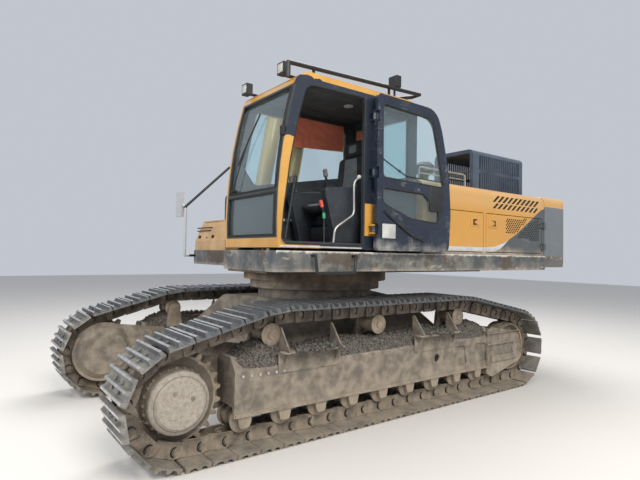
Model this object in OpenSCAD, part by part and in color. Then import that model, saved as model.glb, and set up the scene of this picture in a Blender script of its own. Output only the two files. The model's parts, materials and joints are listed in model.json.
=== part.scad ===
// Crawler excavator on its tracks, with its boom, arm and bucket taken off.
// Millimetres, +X to the front of the cab, +Y to the machine's left, +Z up, ground at z = 0.
// Sizes are measured from the swing axis; stand() then centres the whole machine on the origin.

/* [Tracks] */
// Distance from the sprocket's axle to the idler's axle
tumbler_d = 4470; // [4300:10:4600]
// Distance between the centre lines of the two tracks, set to its transport width
gauge = 2380; // [2380:10:2700]
// Width of a track shoe
shoe_w = 600; // [500:10:600]
// Pitch of the track links
link_pitch = 216; // [190:1:240]
// Radius of the pin line round the sprocket and the idler
pin_line_r = 384; // [370:1:395]
// Height of a link from its pins to the surface that the rollers run on
link_in = 69; // [60:1:75]
// Height of a link from its pins to the shoe
link_out = 60; // [50:1:66]
// Thickness of a shoe's plate
shoe_t = 14; // [10:1:20]
// Height of a grouser bar above the shoe's plate
grouser_h = 32; // [15:1:40]
// Distance between the inner faces of the two link rails
rail_gap = 120; // [110:1:130]
// Width of one link rail
rail_w = 50; // [40:1:55]
// Number of teeth on the sprocket
sprocket_teeth = 22; // [18:1:26]
// Height of the sprocket's teeth
tooth_h = 46; // [30:1:50]
// Thickness of the sprocket
sprocket_t = 76; // [50:1:90]

/* [Track frames] */
// Number of track rollers on each side
roller_n = 9; // [7:1:9]
// Distance from the beam's front end to the first track roller
roller_in_front = 100; // [90:5:140]
// Distance from the beam's rear end to the last track roller
roller_in_rear = 250; // [230:5:270]
// Radius of a track roller's tread
roller_r = 84; // [70:1:90]
// Radius of a carrier roller's tread
carrier_r = 85; // [75:1:95]
// Height of the carrier rollers' axles
carrier_z = 940; // [900:5:960]
// Half width of a track frame's beam
beam_half = 190; // [170:1:195]
// Height of the beam's lower edge
beam_z0 = 300; // [290:1:310]
// Height of the beam's upright sides
beam_shoulder_z = 672; // [620:1:690]
// Height of the beam's top
beam_top_z = 780; // [740:1:800]
// Distance from the beam's front end to the sprocket's axle
beam_to_sprocket = 445; // [420:5:470]
// Distance from the beam's rear end to the idler's axle
beam_to_idler = 535; // [525:5:550]
// Reach of the yoke past the idler's axle
yoke_past = 145; // [120:5:160]

/* [Swing bearing] */
// Radius of the pedestal under the bearing
pedestal_r = 700; // [660:5:740]
// Radius of the bearing's fixed ring
ring_r = 800; // [770:5:840]
// Radius of the round skirt on the upper structure
skirt_r = 880; // [860:5:920]
// Radius of the bearing's centre hole
ring_hole_r = 560; // [500:5:600]
// Underside of the fixed ring
ring_z0 = 1248; // [1235:1:1270]
// Top of the fixed ring
ring_z1 = 1345; // [1335:1:1360]

/* [Decks] */
// Underside of the decks
deck_z0 = 1489; // [1480:1:1500]
// Top of the decks
deck_z1 = 1674; // [1660:1:1680]
// Distance from the swing axis to the decks' sides
deck_y = 1490; // [1460:5:1500]
// Front of the deck that carries the cab
deck_front_x = 1497; // [1470:1:1520]
// Front of the deck that carries the tool box
right_front_x = 1000; // [980:5:1040]
// Distance from the swing axis to the decks' inner edges
deck_inner_y = 470; // [455:5:490]

/* [House] */
// Distance from the swing axis to the side panels
panel_y = 1470; // [1450:5:1480]
// Top edge of the side doors
belt_z = 2190; // [2150:5:2220]
// Top of the house
house_z = 2480; // [2440:5:2520]
// Front of the house behind the cab
house_x1 = -330; // [-350:5:-320]
// Seam between the house and the counterweight
seam_x = -2770; // [-2800:5:-2750]
// Thickness of the house's panels
panel_t = 30; // [20:1:40]
// Radius of the house's upper edge
house_edge_r = 110; // [60:5:140]
// Seam between the two side doors on the left
door_seam_x = -1430; // [-1460:5:-1400]
// Front edge of the front side door
front_door_x = -690; // [-720:5:-680]
// Radius that the tail swings through
tail_r = 3690; // [3600:10:3750]
// Underside of the counterweight
weight_z0 = 1520; // [1500:5:1540]

/* [Cab] */
// Distance from the swing axis to the cab's inner side
cab_y0 = 450; // [445:1:460]
// Distance from the swing axis to the cab's outer side
cab_y1 = 1450; // [1440:1:1455]
// Underside of the cab
cab_z0 = 1700; // [1690:1:1710]
// Top of the cab's roof
cab_z1 = 3275; // [3240:5:3300]
// Rear of the cab
cab_x0 = -250; // [-270:5:-240]
// Foremost reach of the cab's round front
cab_x1 = 1455; // [1430:5:1470]
// Radius of the cab's round front
front_arc_r = 4500; // [3800:50:5000]
// Thickness of the cab's walls
cab_wall = 50; // [40:1:60]
// Thickness of the glass
glass_t = 8; // [6:1:12]
// Height where the windscreen's two panes meet
split_z = 2200; // [2150:5:2250]

/* [Cab door] */
// Thickness of the door
door_t = 43; // [36:1:44]
// Angle that the door stands open
door_open = 177; // [165:1:178]
// Place of the door's hinge line
hinge_x = 405; // [395:1:410]
// Distance from the swing axis to the door's hinge line
hinge_y = 1500; // [1500:1:1506]

/* [Louvre box] */
// Front of the louvre box
louvre_x1 = -1630; // [-1660:5:-1600]
// Rear of the louvre box
louvre_x0 = -2760; // [-2762:2:-2650]
// Inner side of the louvre box
louvre_y0 = 520; // [510:5:560]
// Outer side of the louvre box
louvre_y1 = 1150; // [1120:5:1200]
// Top of the louvre box
louvre_z1 = 3030; // [2900:5:3050]
// Number of louvre slots in a row
louvre_n = 9; // [5:1:12]

/* [Boom cylinders] */
// Distance from the machine's centre line to a boom cylinder
cyl_y = 300; // [290:1:305]
// Place of the cylinders' foot pins
cyl_foot_x = 750; // [740:5:780]
// Height of the cylinders' foot pins
cyl_foot_z = 1670; // [1665:5:1690]
// Angle that a cylinder leans back
cyl_lean = 10.5; // [8:0.5:12]
// Radius of a cylinder's barrel
barrel_r = 98; // [80:1:100]
// Bore radius of a cylinder's barrel
barrel_bore_r = 82; // [76:1:84]
// Radius of a cylinder's rod
rod_r = 65; // [55:1:70]
// Length of a closed cylinder from pin to pin
cyl_closed = 1960; // [1900:5:1980]
// Radius of the cylinder's pins
cyl_pin_r = 55; // [45:1:60]
// Width of a cylinder's eyes
eye_w = 110; // [90:1:112]
// Radius round a cylinder's eyes
eye_r = 105; // [90:1:110]

/* [Boom foot] */
// Distance between the boom foot's two ears
boom_gap = 660; // [640:5:680]
// Thickness of an ear
ear_t = 60; // [50:1:65]
// Place of the boom foot's bore
boom_pin_x = 270; // [240:5:290]
// Height of the boom foot's bore
boom_pin_z = 2120; // [2060:5:2160]
// Radius of the boom foot's bore
boom_pin_r = 60; // [50:1:70]

/* [Right side] */
// Outer reach of the right mirror
mirror_reach = 1700; // [1640:5:1760]
// Top of the tool box
tool_z1 = 2050; // [2000:5:2100]
// Rear of the tool box
tool_x0 = 550; // [530:5:580]
// Seam between the fuel tank and the hydraulic tank
tank_seam_x = -250; // [-300:5:-200]
// Rear of the hydraulic tank
tank_x0 = -1000; // [-1040:5:-960]
// Distance from the swing axis to the tanks' inner sides
tank_y = 530; // [515:5:560]

/* [Hidden] */
$fn = 48;

// A seat's gap, a running fit and the clearance of what moves past its neighbours
seat_gap = 0.3;
run_gap = 0.05;
move_gap = 8;

// Derived sizes of the tracks
axle_z = pin_line_r + link_out + shoe_t + grouser_h;
rail_z = grouser_h + shoe_t + link_out + link_in;
rail_y1 = rail_gap / 2 + rail_w;
beam_x1 = tumbler_d / 2 - beam_to_sprocket;
beam_x0 = -tumbler_d / 2 + beam_to_idler;
yoke_x0 = -tumbler_d / 2 - yoke_past;
roller_x = beam_x1 - roller_in_front;
roller_gap = (roller_x - beam_x0 - roller_in_rear) / (roller_n - 1);
carriers = [beam_x1 - 380, (beam_x0 + beam_x1) / 2 + 85, beam_x0 + 550];
wheels = [
  // x, z, radius of the pin line
  [tumbler_d / 2, axle_z, pin_line_r],
  [carriers[0], carrier_z, carrier_r + link_in],
  [carriers[2], carrier_z, carrier_r + link_in],
  [-tumbler_d / 2, axle_z, pin_line_r]
];

// Derived sizes of the whole machine
side_y = gauge / 2 + shoe_w / 2;

// Short forms for points and round corners
function unit(v) = v / norm(v);
function flat(p) = [p.x, p.y];
function corner(p, q, s, n) =
  q.z <= 0 ? [flat(q)] :
  let (a = unit(flat(p) - flat(q)), b = unit(flat(s) - flat(q)),
       half = acos(a * b) / 2, mid = unit(a + b), c = flat(q) + mid * q.z / sin(half),
       t0 = flat(q) + a * q.z / tan(half) - c, t1 = flat(q) + b * q.z / tan(half) - c,
       start = atan2(t0.y, t0.x), turn = atan2(t0.x * t1.y - t0.y * t1.x, t0 * t1))
  [for (i = [0 : n]) c + q.z * [cos(start + turn * i / n), sin(start + turn * i / n)]];
// A corner list with columns x, y, radius as a polygon with round corners
function rounded(pts, n = 5) =
  let (m = len(pts)) [for (i = [0 : m - 1]) each corner(pts[(i + m - 1) % m], pts[i], pts[(i + 1) % m], n)];

module block(a, b) translate(a) cube(b - a);
module side_cut(pts, y0, y1, n = 5)
  translate([0, y1, 0]) rotate([90, 0, 0]) linear_extrude(y1 - y0) polygon(rounded(pts, n));
module cross_cut(pts, x0, x1, n = 5)
  translate([x0, 0, 0]) rotate([90, 0, 90]) linear_extrude(x1 - x0) polygon(rounded(pts, n));
module plan_cut(pts, z0, z1, n = 5)
  translate([0, 0, z0]) linear_extrude(z1 - z0) polygon(rounded(pts, n));
module along_y(x, z, y0, y1, r) translate([x, y1, z]) rotate([90, 0, 0]) cylinder(h = y1 - y0, r = r);
module bar(a, b, r) {
  v = b - a;
  translate(a) rotate([0, acos(v.z / norm(v)), atan2(v.y, v.x)]) cylinder(h = norm(v), r = r);
}
// A tube along a short list of points, with a slightly fuller ball in each bend
ball_over = 0.5;
module tube_run(pts, r) {
  for (i = [0 : len(pts) - 2]) bar(pts[i], pts[i + 1], r);
  for (i = [1 : 1 : len(pts) - 2]) translate(pts[i]) sphere(r = r + ball_over);
}
module both_sides() {
  children();
  mirror([0, 1, 0]) children();
}
module on_side(s) if (s > 0) children(); else mirror([0, 1, 0]) children();

// The chain's path: it turns round the wheels in order and runs straight between them
function edge_angle(i) =
  let (a = wheels[i], b = wheels[(i + 1) % 4], v = flat(b) - flat(a))
  atan2(v.y, v.x) - acos((a.z - b.z) / norm(v));
function edge_len(i) =
  let (a = wheels[i], b = wheels[(i + 1) % 4], v = flat(b) - flat(a)) sqrt(v * v - pow(a.z - b.z, 2));
function wrap(a) = a - 360 * floor(a / 360);
function turn_angle(i) = wrap(edge_angle(i) - edge_angle((i + 3) % 4));
function turn_len(i) = wheels[i].z * turn_angle(i) * PI / 180;
function ray(a) = [cos(a), sin(a)];
function path_point(s, i = 0) =
  s <= turn_len(i) ? flat(wheels[i]) + wheels[i].z * ray(edge_angle((i + 3) % 4) + s / wheels[i].z * 180 / PI) :
  s <= turn_len(i) + edge_len(i) ?
    flat(wheels[i]) + wheels[i].z * ray(edge_angle(i)) + (s - turn_len(i)) * ray(edge_angle(i) + 90) :
    path_point(s - turn_len(i) - edge_len(i), (i + 1) % 4);
path_len = turn_len(0) + turn_len(1) + turn_len(2) + turn_len(3)
  + edge_len(0) + edge_len(1) + edge_len(2) + edge_len(3);
shoe_n = round(path_len / link_pitch);
real_pitch = path_len / shoe_n;
pins = [for (i = [0 : shoe_n - 1]) path_point(i * real_pitch)];
function outward(i) = let (t = unit(pins[(i + 1) % shoe_n] - pins[i])) [t.y, -t.x];
function pin_offset(i, h) =
  let (n0 = outward((i + shoe_n - 1) % shoe_n), n1 = outward(i), v = unit(n0 + n1)) pins[i] + v * h / (v * n1);
// One triple-grouser shoe, seen from the side: share of the pitch, share of the grouser's height
shoe_form = [[0.03, 0.9], [0.13, 1], [0.27, 0.1], [0.42, 1], [0.52, 1], [0.69, 0.1], [0.87, 1], [0.97, 0.9]];
function shoe_point(i, p) =
  let (t = pins[(i + 1) % shoe_n] - pins[i]) pins[i] + t * p.x + outward(i) * (link_out + shoe_t + grouser_h * p.y);
function chain_loop(h) = [for (i = [0 : shoe_n - 1]) pin_offset(i, h)];
function shoe_loop() =
  [for (i = [0 : shoe_n - 1]) each [pin_offset(i, link_out + 2), for (p = shoe_form) shoe_point(i, p)]];
front_x = max([for (p = shoe_loop()) p.x]);
// The links are straight, so they dip a little below the path where it bends over a carrier roller
function rail_height(c, i) = (c - pins[i]) * outward(i) + link_in;
function tread_r(x) =
  min(carrier_r, -max([for (i = [0 : shoe_n - 1]) if (pins[i].y > carrier_z && abs(pins[i].x - x) < 2 * link_pitch)
    rail_height([x, carrier_z], i)])) - seat_gap;
half_link = 90 * real_pitch / PI / pin_line_r;
idler_r = pin_line_r * cos(half_link) - link_in - seat_gap;

module track(s) color([0.33, 0.29, 0.25]) on_side(s) translate([0, gauge / 2, 0]) {
  along_track(-shoe_w / 2, shoe_w / 2) difference() {
    polygon(shoe_loop());
    polygon(chain_loop(link_out - 6));
  }
  for (side = [-1, 1])
    along_track(side * (rail_gap + rail_w) / 2 - rail_w / 2, side * (rail_gap + rail_w) / 2 + rail_w / 2)
      difference() {
        polygon(chain_loop(link_out - 3));
        polygon(chain_loop(-link_in));
      }
}
module along_track(y0, y1) translate([0, y1, 0]) rotate([90, 0, 0]) linear_extrude(y1 - y0) children();

// Sprocket with its final drive, bolted to the frame's end plate on the inner side
tooth_root_r = pin_line_r + 10 - tooth_h;
drive_r = 245;
drive_y1 = 195;
end_plate_y = 140;
end_plate_r = 330;
module sprockets() color([0.42, 0.34, 0.24]) both_sides() translate([tumbler_d / 2, gauge / 2, axle_z]) {
  step = 360 / sprocket_teeth;
  along_track(-sprocket_t / 2, sprocket_t / 2) polygon([for (i = [0 : sprocket_teeth - 1]) each [
    tooth_root_r * ray((i - 0.22) * step), tooth_root_r * ray((i + 0.22) * step),
    (tooth_root_r + tooth_h) * ray((i + 0.4) * step), (tooth_root_r + tooth_h) * ray((i + 0.6) * step)]]);
  rotate([-90, 0, 0]) rotate_extrude() polygon(rounded([
    [0, -end_plate_y, 0], [drive_r + 30, -end_plate_y, 0], [drive_r + 30, 40, 0], [drive_r + 12, 60, 0],
    [drive_r, 70, 0], [drive_r, drive_y1 - 40, 30], [drive_r - 60, drive_y1, 10], [0, drive_y1, 0]]));
}

// Idler with its shaft, held in the yoke's two side plates
idler_half = 112;
yoke_t = 30;
shaft_r = 48;
module idlers() color([0.40, 0.33, 0.25]) both_sides() translate([-tumbler_d / 2, gauge / 2, axle_z])
  rotate([-90, 0, 0]) rotate_extrude() polygon(rounded([
    [0, -beam_half + yoke_t + 1, 0], [shaft_r, -beam_half + yoke_t + 1, 0], [shaft_r, -idler_half, 0],
    [110, -idler_half, 10], [130, -40, 20], [idler_r - 45, -40, 10], [idler_r - 30, -idler_half, 6],
    [idler_r, -idler_half, 6], [idler_r, -rail_gap / 2 + 8, 0], [idler_r + 18, -rail_gap / 2 + 14, 0],
    [idler_r + 18, rail_gap / 2 - 14, 0], [idler_r, rail_gap / 2 - 8, 0], [idler_r, idler_half, 6],
    [idler_r - 30, idler_half, 6], [idler_r - 45, 40, 10], [130, 40, 20], [110, idler_half, 10],
    [shaft_r, idler_half, 0], [shaft_r, beam_half - yoke_t - 1, 0], [0, beam_half - yoke_t - 1, 0]], 3));

// Track rollers under the beam, each with the two collars that hang it from the beam
collar_w = 130;
roller_half = 140;
flange_h = 22;
roller_z = rail_z + seat_gap + roller_r;
module track_rollers() color([0.38, 0.31, 0.23]) both_sides() translate([0, gauge / 2, 0])
  for (i = [0 : roller_n - 1]) translate([roller_x - i * roller_gap, 0, 0]) {
    translate([0, 0, roller_z]) rotate([-90, 0, 0]) rotate_extrude() polygon(rounded([
      [0, -roller_half, 0], [60, -roller_half, 8], [roller_r + flange_h, -rail_y1 - 14, 6],
      [roller_r + flange_h, -rail_y1 - 4, 0], [roller_r, -rail_y1 - 1, 0], [roller_r, -rail_gap / 2 + 6, 0],
      [roller_r - 26, -rail_gap / 2 + 22, 0], [roller_r - 26, rail_gap / 2 - 22, 0], [roller_r, rail_gap / 2 - 6, 0],
      [roller_r, rail_y1 + 1, 0], [roller_r + flange_h, rail_y1 + 4, 0], [roller_r + flange_h, rail_y1 + 14, 6],
      [60, roller_half, 8], [0, roller_half, 0]], 2));
    for (side = [-1, 1]) translate([0, side * (roller_half + beam_half) / 2, 0])
      side_cut([[-45, roller_z - 52, 24], [45, roller_z - 52, 24], [collar_w / 2, beam_z0, 0],
                [-collar_w / 2, beam_z0, 0]], -(beam_half - roller_half) / 2, (beam_half - roller_half) / 2, 3);
  }

// Carrier rollers on top of the beam, each overhung from a post on the inner side
post_y = rail_y1 + 20;
post_t = 44;
module carrier_rollers() color([0.38, 0.31, 0.23]) both_sides() translate([0, gauge / 2, 0]) for (x = carriers) {
  translate([x, 0, carrier_z]) rotate([-90, 0, 0]) rotate_extrude() polygon(rounded([
    [0, -post_y, 0], [45, -post_y, 0], [carrier_r + 14, -rail_y1 - 10, 4], [carrier_r + 14, -rail_y1 - 4, 0],
    [tread_r(x), -rail_y1 - 1, 0], [tread_r(x), rail_y1 + 1, 0],
    [carrier_r + 14, rail_y1 + 4, 0], [carrier_r + 14, rail_y1 + 10, 4], [60, rail_y1 + 22, 4],
    [0, rail_y1 + 22, 0]], 2));
  side_cut([[x - 100, beam_top_z - 60, 0], [x + 100, beam_top_z - 60, 0], [x + 62, carrier_z + 62, 50],
            [x - 62, carrier_z + 62, 50]], -post_y - post_t, -post_y, 4);
}

// Track frame: a bevelled beam, the sprocket's end plate and the idler's yoke
skirt_t = 30;
beam_roof_z = roller_z + roller_r + flange_h + 20;
module beam_form() polygon(rounded([
  [-beam_half, beam_z0, 0], [-beam_half + skirt_t, beam_z0, 0], [-beam_half + skirt_t, beam_roof_z, 20],
  [beam_half - skirt_t, beam_roof_z, 20], [beam_half - skirt_t, beam_z0, 0], [beam_half, beam_z0, 0],
  [beam_half, beam_shoulder_z, 25], [beam_half - 90, beam_top_z, 30], [-beam_half + 90, beam_top_z, 30],
  [-beam_half, beam_shoulder_z, 25]], 3));
module track_frame(s) color([0.45, 0.37, 0.27]) on_side(s) translate([0, gauge / 2, 0]) {
  difference() {
    translate([beam_x0, 0, 0]) rotate([90, 0, 90]) linear_extrude(beam_x1 - beam_x0) beam_form();
    along_y(beam_x0 + 1000, 516, beam_half - 20, beam_half + 10, 45);
    for (x = [beam_x0 + 600, beam_x0 + 200]) side_cut([[x - 130, 380, 30], [x + 130, 380, 30], [x + 90, 610, 40], [x - 90, 610, 40]],
      beam_half - 16, beam_half + 10, 3);
    for (x = carriers) block([x - 101, -post_y - post_t, beam_top_z - 60], [x + 101, -post_y, beam_top_z + 20]);
  }
  // Edge flange along the bottom of the beam
  block([beam_x0 + 50, beam_half, beam_z0], [beam_x1 - 10, beam_half + 14, beam_z0 + 26]);
  // End plate that carries the final drive
  translate([0, -end_plate_y, 0]) rotate([90, 0, 0]) linear_extrude(beam_half - end_plate_y) {
    translate([tumbler_d / 2, axle_z]) circle(r = end_plate_r);
    polygon([[beam_x1 - 300, beam_z0 + 60], [beam_x1, beam_z0 + 10], [tumbler_d / 2, axle_z - end_plate_r + 10],
             [tumbler_d / 2, axle_z + end_plate_r - 10], [beam_x1 - 250, beam_top_z - 60]]);
  }
  // Round cover over the travel motor on the inner side
  translate([tumbler_d / 2, -beam_half, axle_z]) rotate([90, 0, 0]) cylinder(h = 60, r1 = 300, r2 = 240);
  // Yoke round the idler
  difference() {
    side_cut([[yoke_x0, 330, 60], [beam_x0 - 40, 175, 30], [beam_x0 + 60, 210, 30], [beam_x0 + 60, 730, 20],
              [beam_x0 - 60, 775, 60], [yoke_x0 + 90, 690, 90]], -beam_half, beam_half, 4);
    block([yoke_x0 - 50, -beam_half + yoke_t, 100], [beam_x0 - 10, beam_half - yoke_t, 850]);
    side_cut([[yoke_x0 - 10, 400, 0], [yoke_x0 + 60, 400, 60], [yoke_x0 + 60, 600, 60], [yoke_x0 - 10, 600, 0]],
             -beam_half - 5, beam_half + 5, 4);
  }
  for (side = [-1, 1]) along_y(-tumbler_d / 2, axle_z, side * (beam_half - yoke_t / 2) - yoke_t / 2 + min(side, 0) * 12,
    side * (beam_half - yoke_t / 2) + yoke_t / 2 + max(side, 0) * 12, 88);
}

// Car body: the pedestal on a box with four legs out to the track frames
leg_x = 620;
leg_w = 520;
leg_y1 = gauge / 2 - beam_half;
body_z0 = 560;
body_z1 = 1140;
module car_body() color([0.42, 0.34, 0.25]) {
  difference() {
    union() {
      intersection() {
        plan_cut([[-1180, -leg_y1, 0], [-1180 + leg_w, -leg_y1, 0], [0, -700, 300], [1180 - leg_w, -leg_y1, 0],
                  [1180, -leg_y1, 0], [700, 0, 300], [1180, leg_y1, 0], [1180 - leg_w, leg_y1, 0], [0, 700, 300],
                  [-1180 + leg_w, leg_y1, 0], [-1180, leg_y1, 0], [-700, 0, 300]], 400, 1300);
        cross_cut([[-leg_y1, 440, 0], [-560, body_z0, 100], [560, body_z0, 100], [leg_y1, 440, 0],
                   [leg_y1, 760, 0], [560, body_z1, 120], [-560, body_z1, 120], [-leg_y1, 760, 0]],
                  -1200, 1200);
      }
      translate([0, 0, body_z1 - 120]) cylinder(h = ring_z0 - body_z1 + 120, r = pedestal_r, $fn = 96);
    }
    translate([0, 0, body_z1 - 260]) cylinder(h = 600, r = ring_hole_r - 120, $fn = 96);
  }
}

// Steps bolted to the outside of the track frames
step_z = 800;
step_t = 14;
module side_steps() color([0.40, 0.33, 0.25]) both_sides() for (x = [beam_x1 - 755, beam_x0 + 1030]) {
  plan_cut([[x - 345, gauge / 2 + beam_half, 0], [x + 345, gauge / 2 + beam_half, 0], [x + 345, side_y - 5, 50],
            [x - 345, side_y - 5, 50]], step_z - step_t, step_z, 4);
  for (dx = [-280, 280]) cross_cut([[gauge / 2 + beam_half, step_z - step_t - 150, 0],
    [gauge / 2 + beam_half, step_z - step_t, 0], [side_y - 40, step_z - step_t, 0]], x + dx - 7, x + dx + 7);
  block([x - 345, gauge / 2 + beam_half, step_z - step_t - 170], [x + 345, gauge / 2 + beam_half + 10, step_z - step_t]);
}

module swing_ring() color([0.36, 0.33, 0.30]) difference() {
  translate([0, 0, ring_z0]) cylinder(h = ring_z1 - ring_z0 - seat_gap, r = ring_r, $fn = 96);
  translate([0, 0, ring_z0 - 10]) cylinder(h = 200, r = ring_hole_r, $fn = 96);
}

// Revolving frame: the round skirt, the long centre plate and the boom's brackets
plate_z = deck_z0 + 60;
frame_y = deck_inner_y - 10;
module revolving_frame() color([0.30, 0.29, 0.28]) {
  difference() {
    union() {
      translate([0, 0, ring_z1]) cylinder(h = plate_z - ring_z1, r = skirt_r, $fn = 96);
      block([seam_x, -frame_y, deck_z0 - 60], [right_front_x - 30, frame_y, plate_z]);
    }
    translate([0, 0, ring_z1 - 10]) cylinder(h = plate_z - ring_z1 - 20, r = ring_hole_r, $fn = 96);
  }
  both_sides() {
    difference() {
      side_cut([[seam_x, plate_z, 0], [560, plate_z, 0], [boom_pin_x + 190, boom_pin_z, 190],
                [boom_pin_x, boom_pin_z + 190, 189], [boom_pin_x - 200, boom_pin_z + 150, 190],
                [-700, 1900, 300], [seam_x, 1760, 0]], boom_gap / 2, boom_gap / 2 + ear_t);
      along_y(boom_pin_x, boom_pin_z, boom_gap / 2 - 10, boom_gap / 2 + ear_t + 10, boom_pin_r);
    }
    // Two cheeks with the foot pin of a boom cylinder
    for (side = [-1, 1]) side_cut([[cyl_foot_x - 260, plate_z, 0], [cyl_foot_x + 165, plate_z, 0],
        [cyl_foot_x + 125, cyl_foot_z + 125, 120], [cyl_foot_x - 125, cyl_foot_z + 125, 120]],
        cyl_y + side * (eye_w / 2 + 20) - 15, cyl_y + side * (eye_w / 2 + 20) + 15, 4);
    along_y(cyl_foot_x, cyl_foot_z, cyl_y - eye_w / 2 - 50, cyl_y + eye_w / 2 + 50, cyl_pin_r);
  }
}

// Decks: trays with a plate on top and a deep edge
edge_t = 40;
tray_t = 30;
module tray(pts, inner) difference() {
  plan_cut(pts, deck_z0, deck_z1);
  plan_cut(inner, deck_z0 - 10, deck_z1 - tray_t);
  translate([0, 0, deck_z0 - 10]) cylinder(h = plate_z - deck_z0 + 10.3, r = skirt_r + 0.3, $fn = 96);
}
module deck_left() color([0.46, 0.36, 0.24]) tray(
  [[seam_x + move_gap, deck_inner_y, 0], [deck_front_x, deck_inner_y, 60], [deck_front_x, deck_y, 60],
   [seam_x + move_gap, deck_y, 0]],
  [[seam_x + move_gap + edge_t, deck_inner_y + edge_t, 0], [deck_front_x - edge_t, deck_inner_y + edge_t, 0],
   [deck_front_x - edge_t, deck_y - edge_t, 0], [seam_x + move_gap + edge_t, deck_y - edge_t, 0]]);
module deck_right() color([0.46, 0.36, 0.24]) mirror([0, 1, 0]) tray(
  [[seam_x + move_gap, deck_inner_y, 0], [right_front_x, deck_inner_y, 40], [right_front_x, deck_y, 60],
   [seam_x + move_gap, deck_y, 0]],
  [[seam_x + move_gap + edge_t, deck_inner_y + edge_t, 0], [right_front_x - edge_t, deck_inner_y + edge_t, 0],
   [right_front_x - edge_t, deck_y - edge_t, 0], [seam_x + move_gap + edge_t, deck_y - edge_t, 0]]);

// Counterweight with a round tail and a stepped lower lip
tail_edge_r = 250;
tail_side_x = -sqrt(tail_r * tail_r - panel_y * panel_y);
tail_mid_y = panel_y + (tail_r + 10 + tail_side_x) * tail_side_x / panel_y;
module counterweight() color([0.50, 0.50, 0.49]) intersection() {
  translate([0, 0, weight_z0 - 10]) cylinder(h = 1200, r = tail_r, $fn = 128);
  plan_cut([[seam_x, -panel_y, 0], [seam_x, panel_y, 0], [tail_side_x, panel_y, tail_edge_r],
            [-tail_r - 10, tail_mid_y, 0], [-tail_r - 10, -tail_mid_y, 0], [tail_side_x, -panel_y, tail_edge_r]],
           weight_z0 - 10, house_z + 20, 8);
  cross_cut([[-panel_y + 60, weight_z0, 0], [panel_y - 60, weight_z0, 0], [panel_y, deck_z1 + 20, 0],
             [panel_y, house_z + 10, house_edge_r], [-panel_y, house_z + 10, house_edge_r],
             [-panel_y, deck_z1 + 20, 0]], -tail_r - 10, seam_x);
  side_cut([[seam_x, weight_z0, 0], [seam_x, house_z + 10, 0], [-tail_r, house_z + 10, 160], [-tail_r, deck_z1 - 20, 20],
            [-tail_r + 90, weight_z0, 0]], -panel_y - 10, panel_y + 10);
}

module engine_block() color([0.35, 0.35, 0.36])
  block([-2450, -boom_gap / 2 + 10, plate_z], [-1350, boom_gap / 2 - 10, 2330]);

// Left half of the house: a shell with two door openings
sill_z = deck_z1 + 30;
house_y0 = boom_gap / 2 + ear_t + 40;
module shell_form(inset) cross_cut([
  [house_y0 - inset, deck_z1 - min(inset, 0), 0], [panel_y - inset, deck_z1 + 0, 0],
  [panel_y - inset, house_z - inset, house_edge_r - inset], [house_y0 - inset, house_z - inset, 0]],
  seam_x + move_gap + max(inset, 0), house_x1 - max(inset, 0));
module house_left() color([0.13, 0.17, 0.24]) {
  difference() {
    shell_form(0);
    difference() {
      shell_form(panel_t);
      for (x = [seam_x + 40, door_seam_x, front_door_x + 20])
        block([x - 25, panel_y - 110, deck_z1], [x + 25, panel_y, belt_z + 20]);
      block([seam_x, panel_y - 90, deck_z1], [house_x1, panel_y, sill_z]);
    }
    door_hole(door_seam_x + 30, front_door_x, 1);
    door_hole(seam_x + 70, door_seam_x - 30, 1);
  }
  on_left_hinges() hinge_pins();
  hood_lugs(hood_hinge_ys[1]);
}
module door_hole(x0, x1, s) on_side(s)
  side_cut([[x0 - move_gap, sill_z, 25], [x1 + move_gap, sill_z, 25], [x1 + move_gap, belt_z - 12, 25],
            [x0 - move_gap, belt_z - 12, 25]], panel_y - panel_t - 80, panel_y + 20, 4);
module door_leaf(x0, x1, s) on_side(s)
  side_cut([[x0, sill_z + move_gap, 20], [x1, sill_z + move_gap, 20], [x1, belt_z - 12 - move_gap, 20],
            [x0, belt_z - 12 - move_gap, 20]], panel_y - panel_t, panel_y, 4);

// Outside hinges: a fixed pin with a lug at each end, and a knuckle that turns on it
pin_r = 10;
knuckle_r = 19;
knuckle_h = 60;
hinge_stand = 24;
hinge_zs = [sill_z + 90, belt_z - 110];
module hinge_pins() for (z = hinge_zs) translate([0, 0, z]) {
  cylinder(h = knuckle_h + 30, r = pin_r, center = true);
  for (side = [-1, 1]) translate([-knuckle_r, -hinge_stand, side * (knuckle_h / 2 + 9) - 7])
    cube([2 * knuckle_r, hinge_stand + pin_r, 14]);
}
module hinge_knuckles(reach) for (z = hinge_zs) translate([0, 0, z]) difference() {
  union() {
    cylinder(h = knuckle_h, r = knuckle_r, center = true);
    translate([min(0, reach), -hinge_stand, -knuckle_h / 2]) cube([abs(reach), 14, knuckle_h]);
  }
  cylinder(h = knuckle_h + 2, r = pin_r + run_gap, center = true);
}
front_hinge = [front_door_x + move_gap + 20, panel_y + hinge_stand];
rear_hinge = [seam_x + 70 - move_gap - 20, panel_y + hinge_stand];
module on_left_hinges() {
  translate(front_hinge) children();
  translate(rear_hinge) children();
}
module side_door_front() color([0.88, 0.58, 0.12]) {
  door_leaf(door_seam_x + 30, front_door_x, 1);
  translate(front_hinge) hinge_knuckles(-60);
  latch(-1300, 2056);
}
module side_door_rear() color([0.88, 0.58, 0.12]) {
  door_leaf(seam_x + 70, door_seam_x - 30, 1);
  translate(rear_hinge) hinge_knuckles(60);
  latch(-1560, 2056);
}
module latch(x, z) side_cut([[x - 40, z - 30, 12], [x + 40, z - 30, 12], [x + 40, z + 30, 12], [x - 40, z + 30, 12]],
  panel_y - 2, panel_y + 8, 3);

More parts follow.
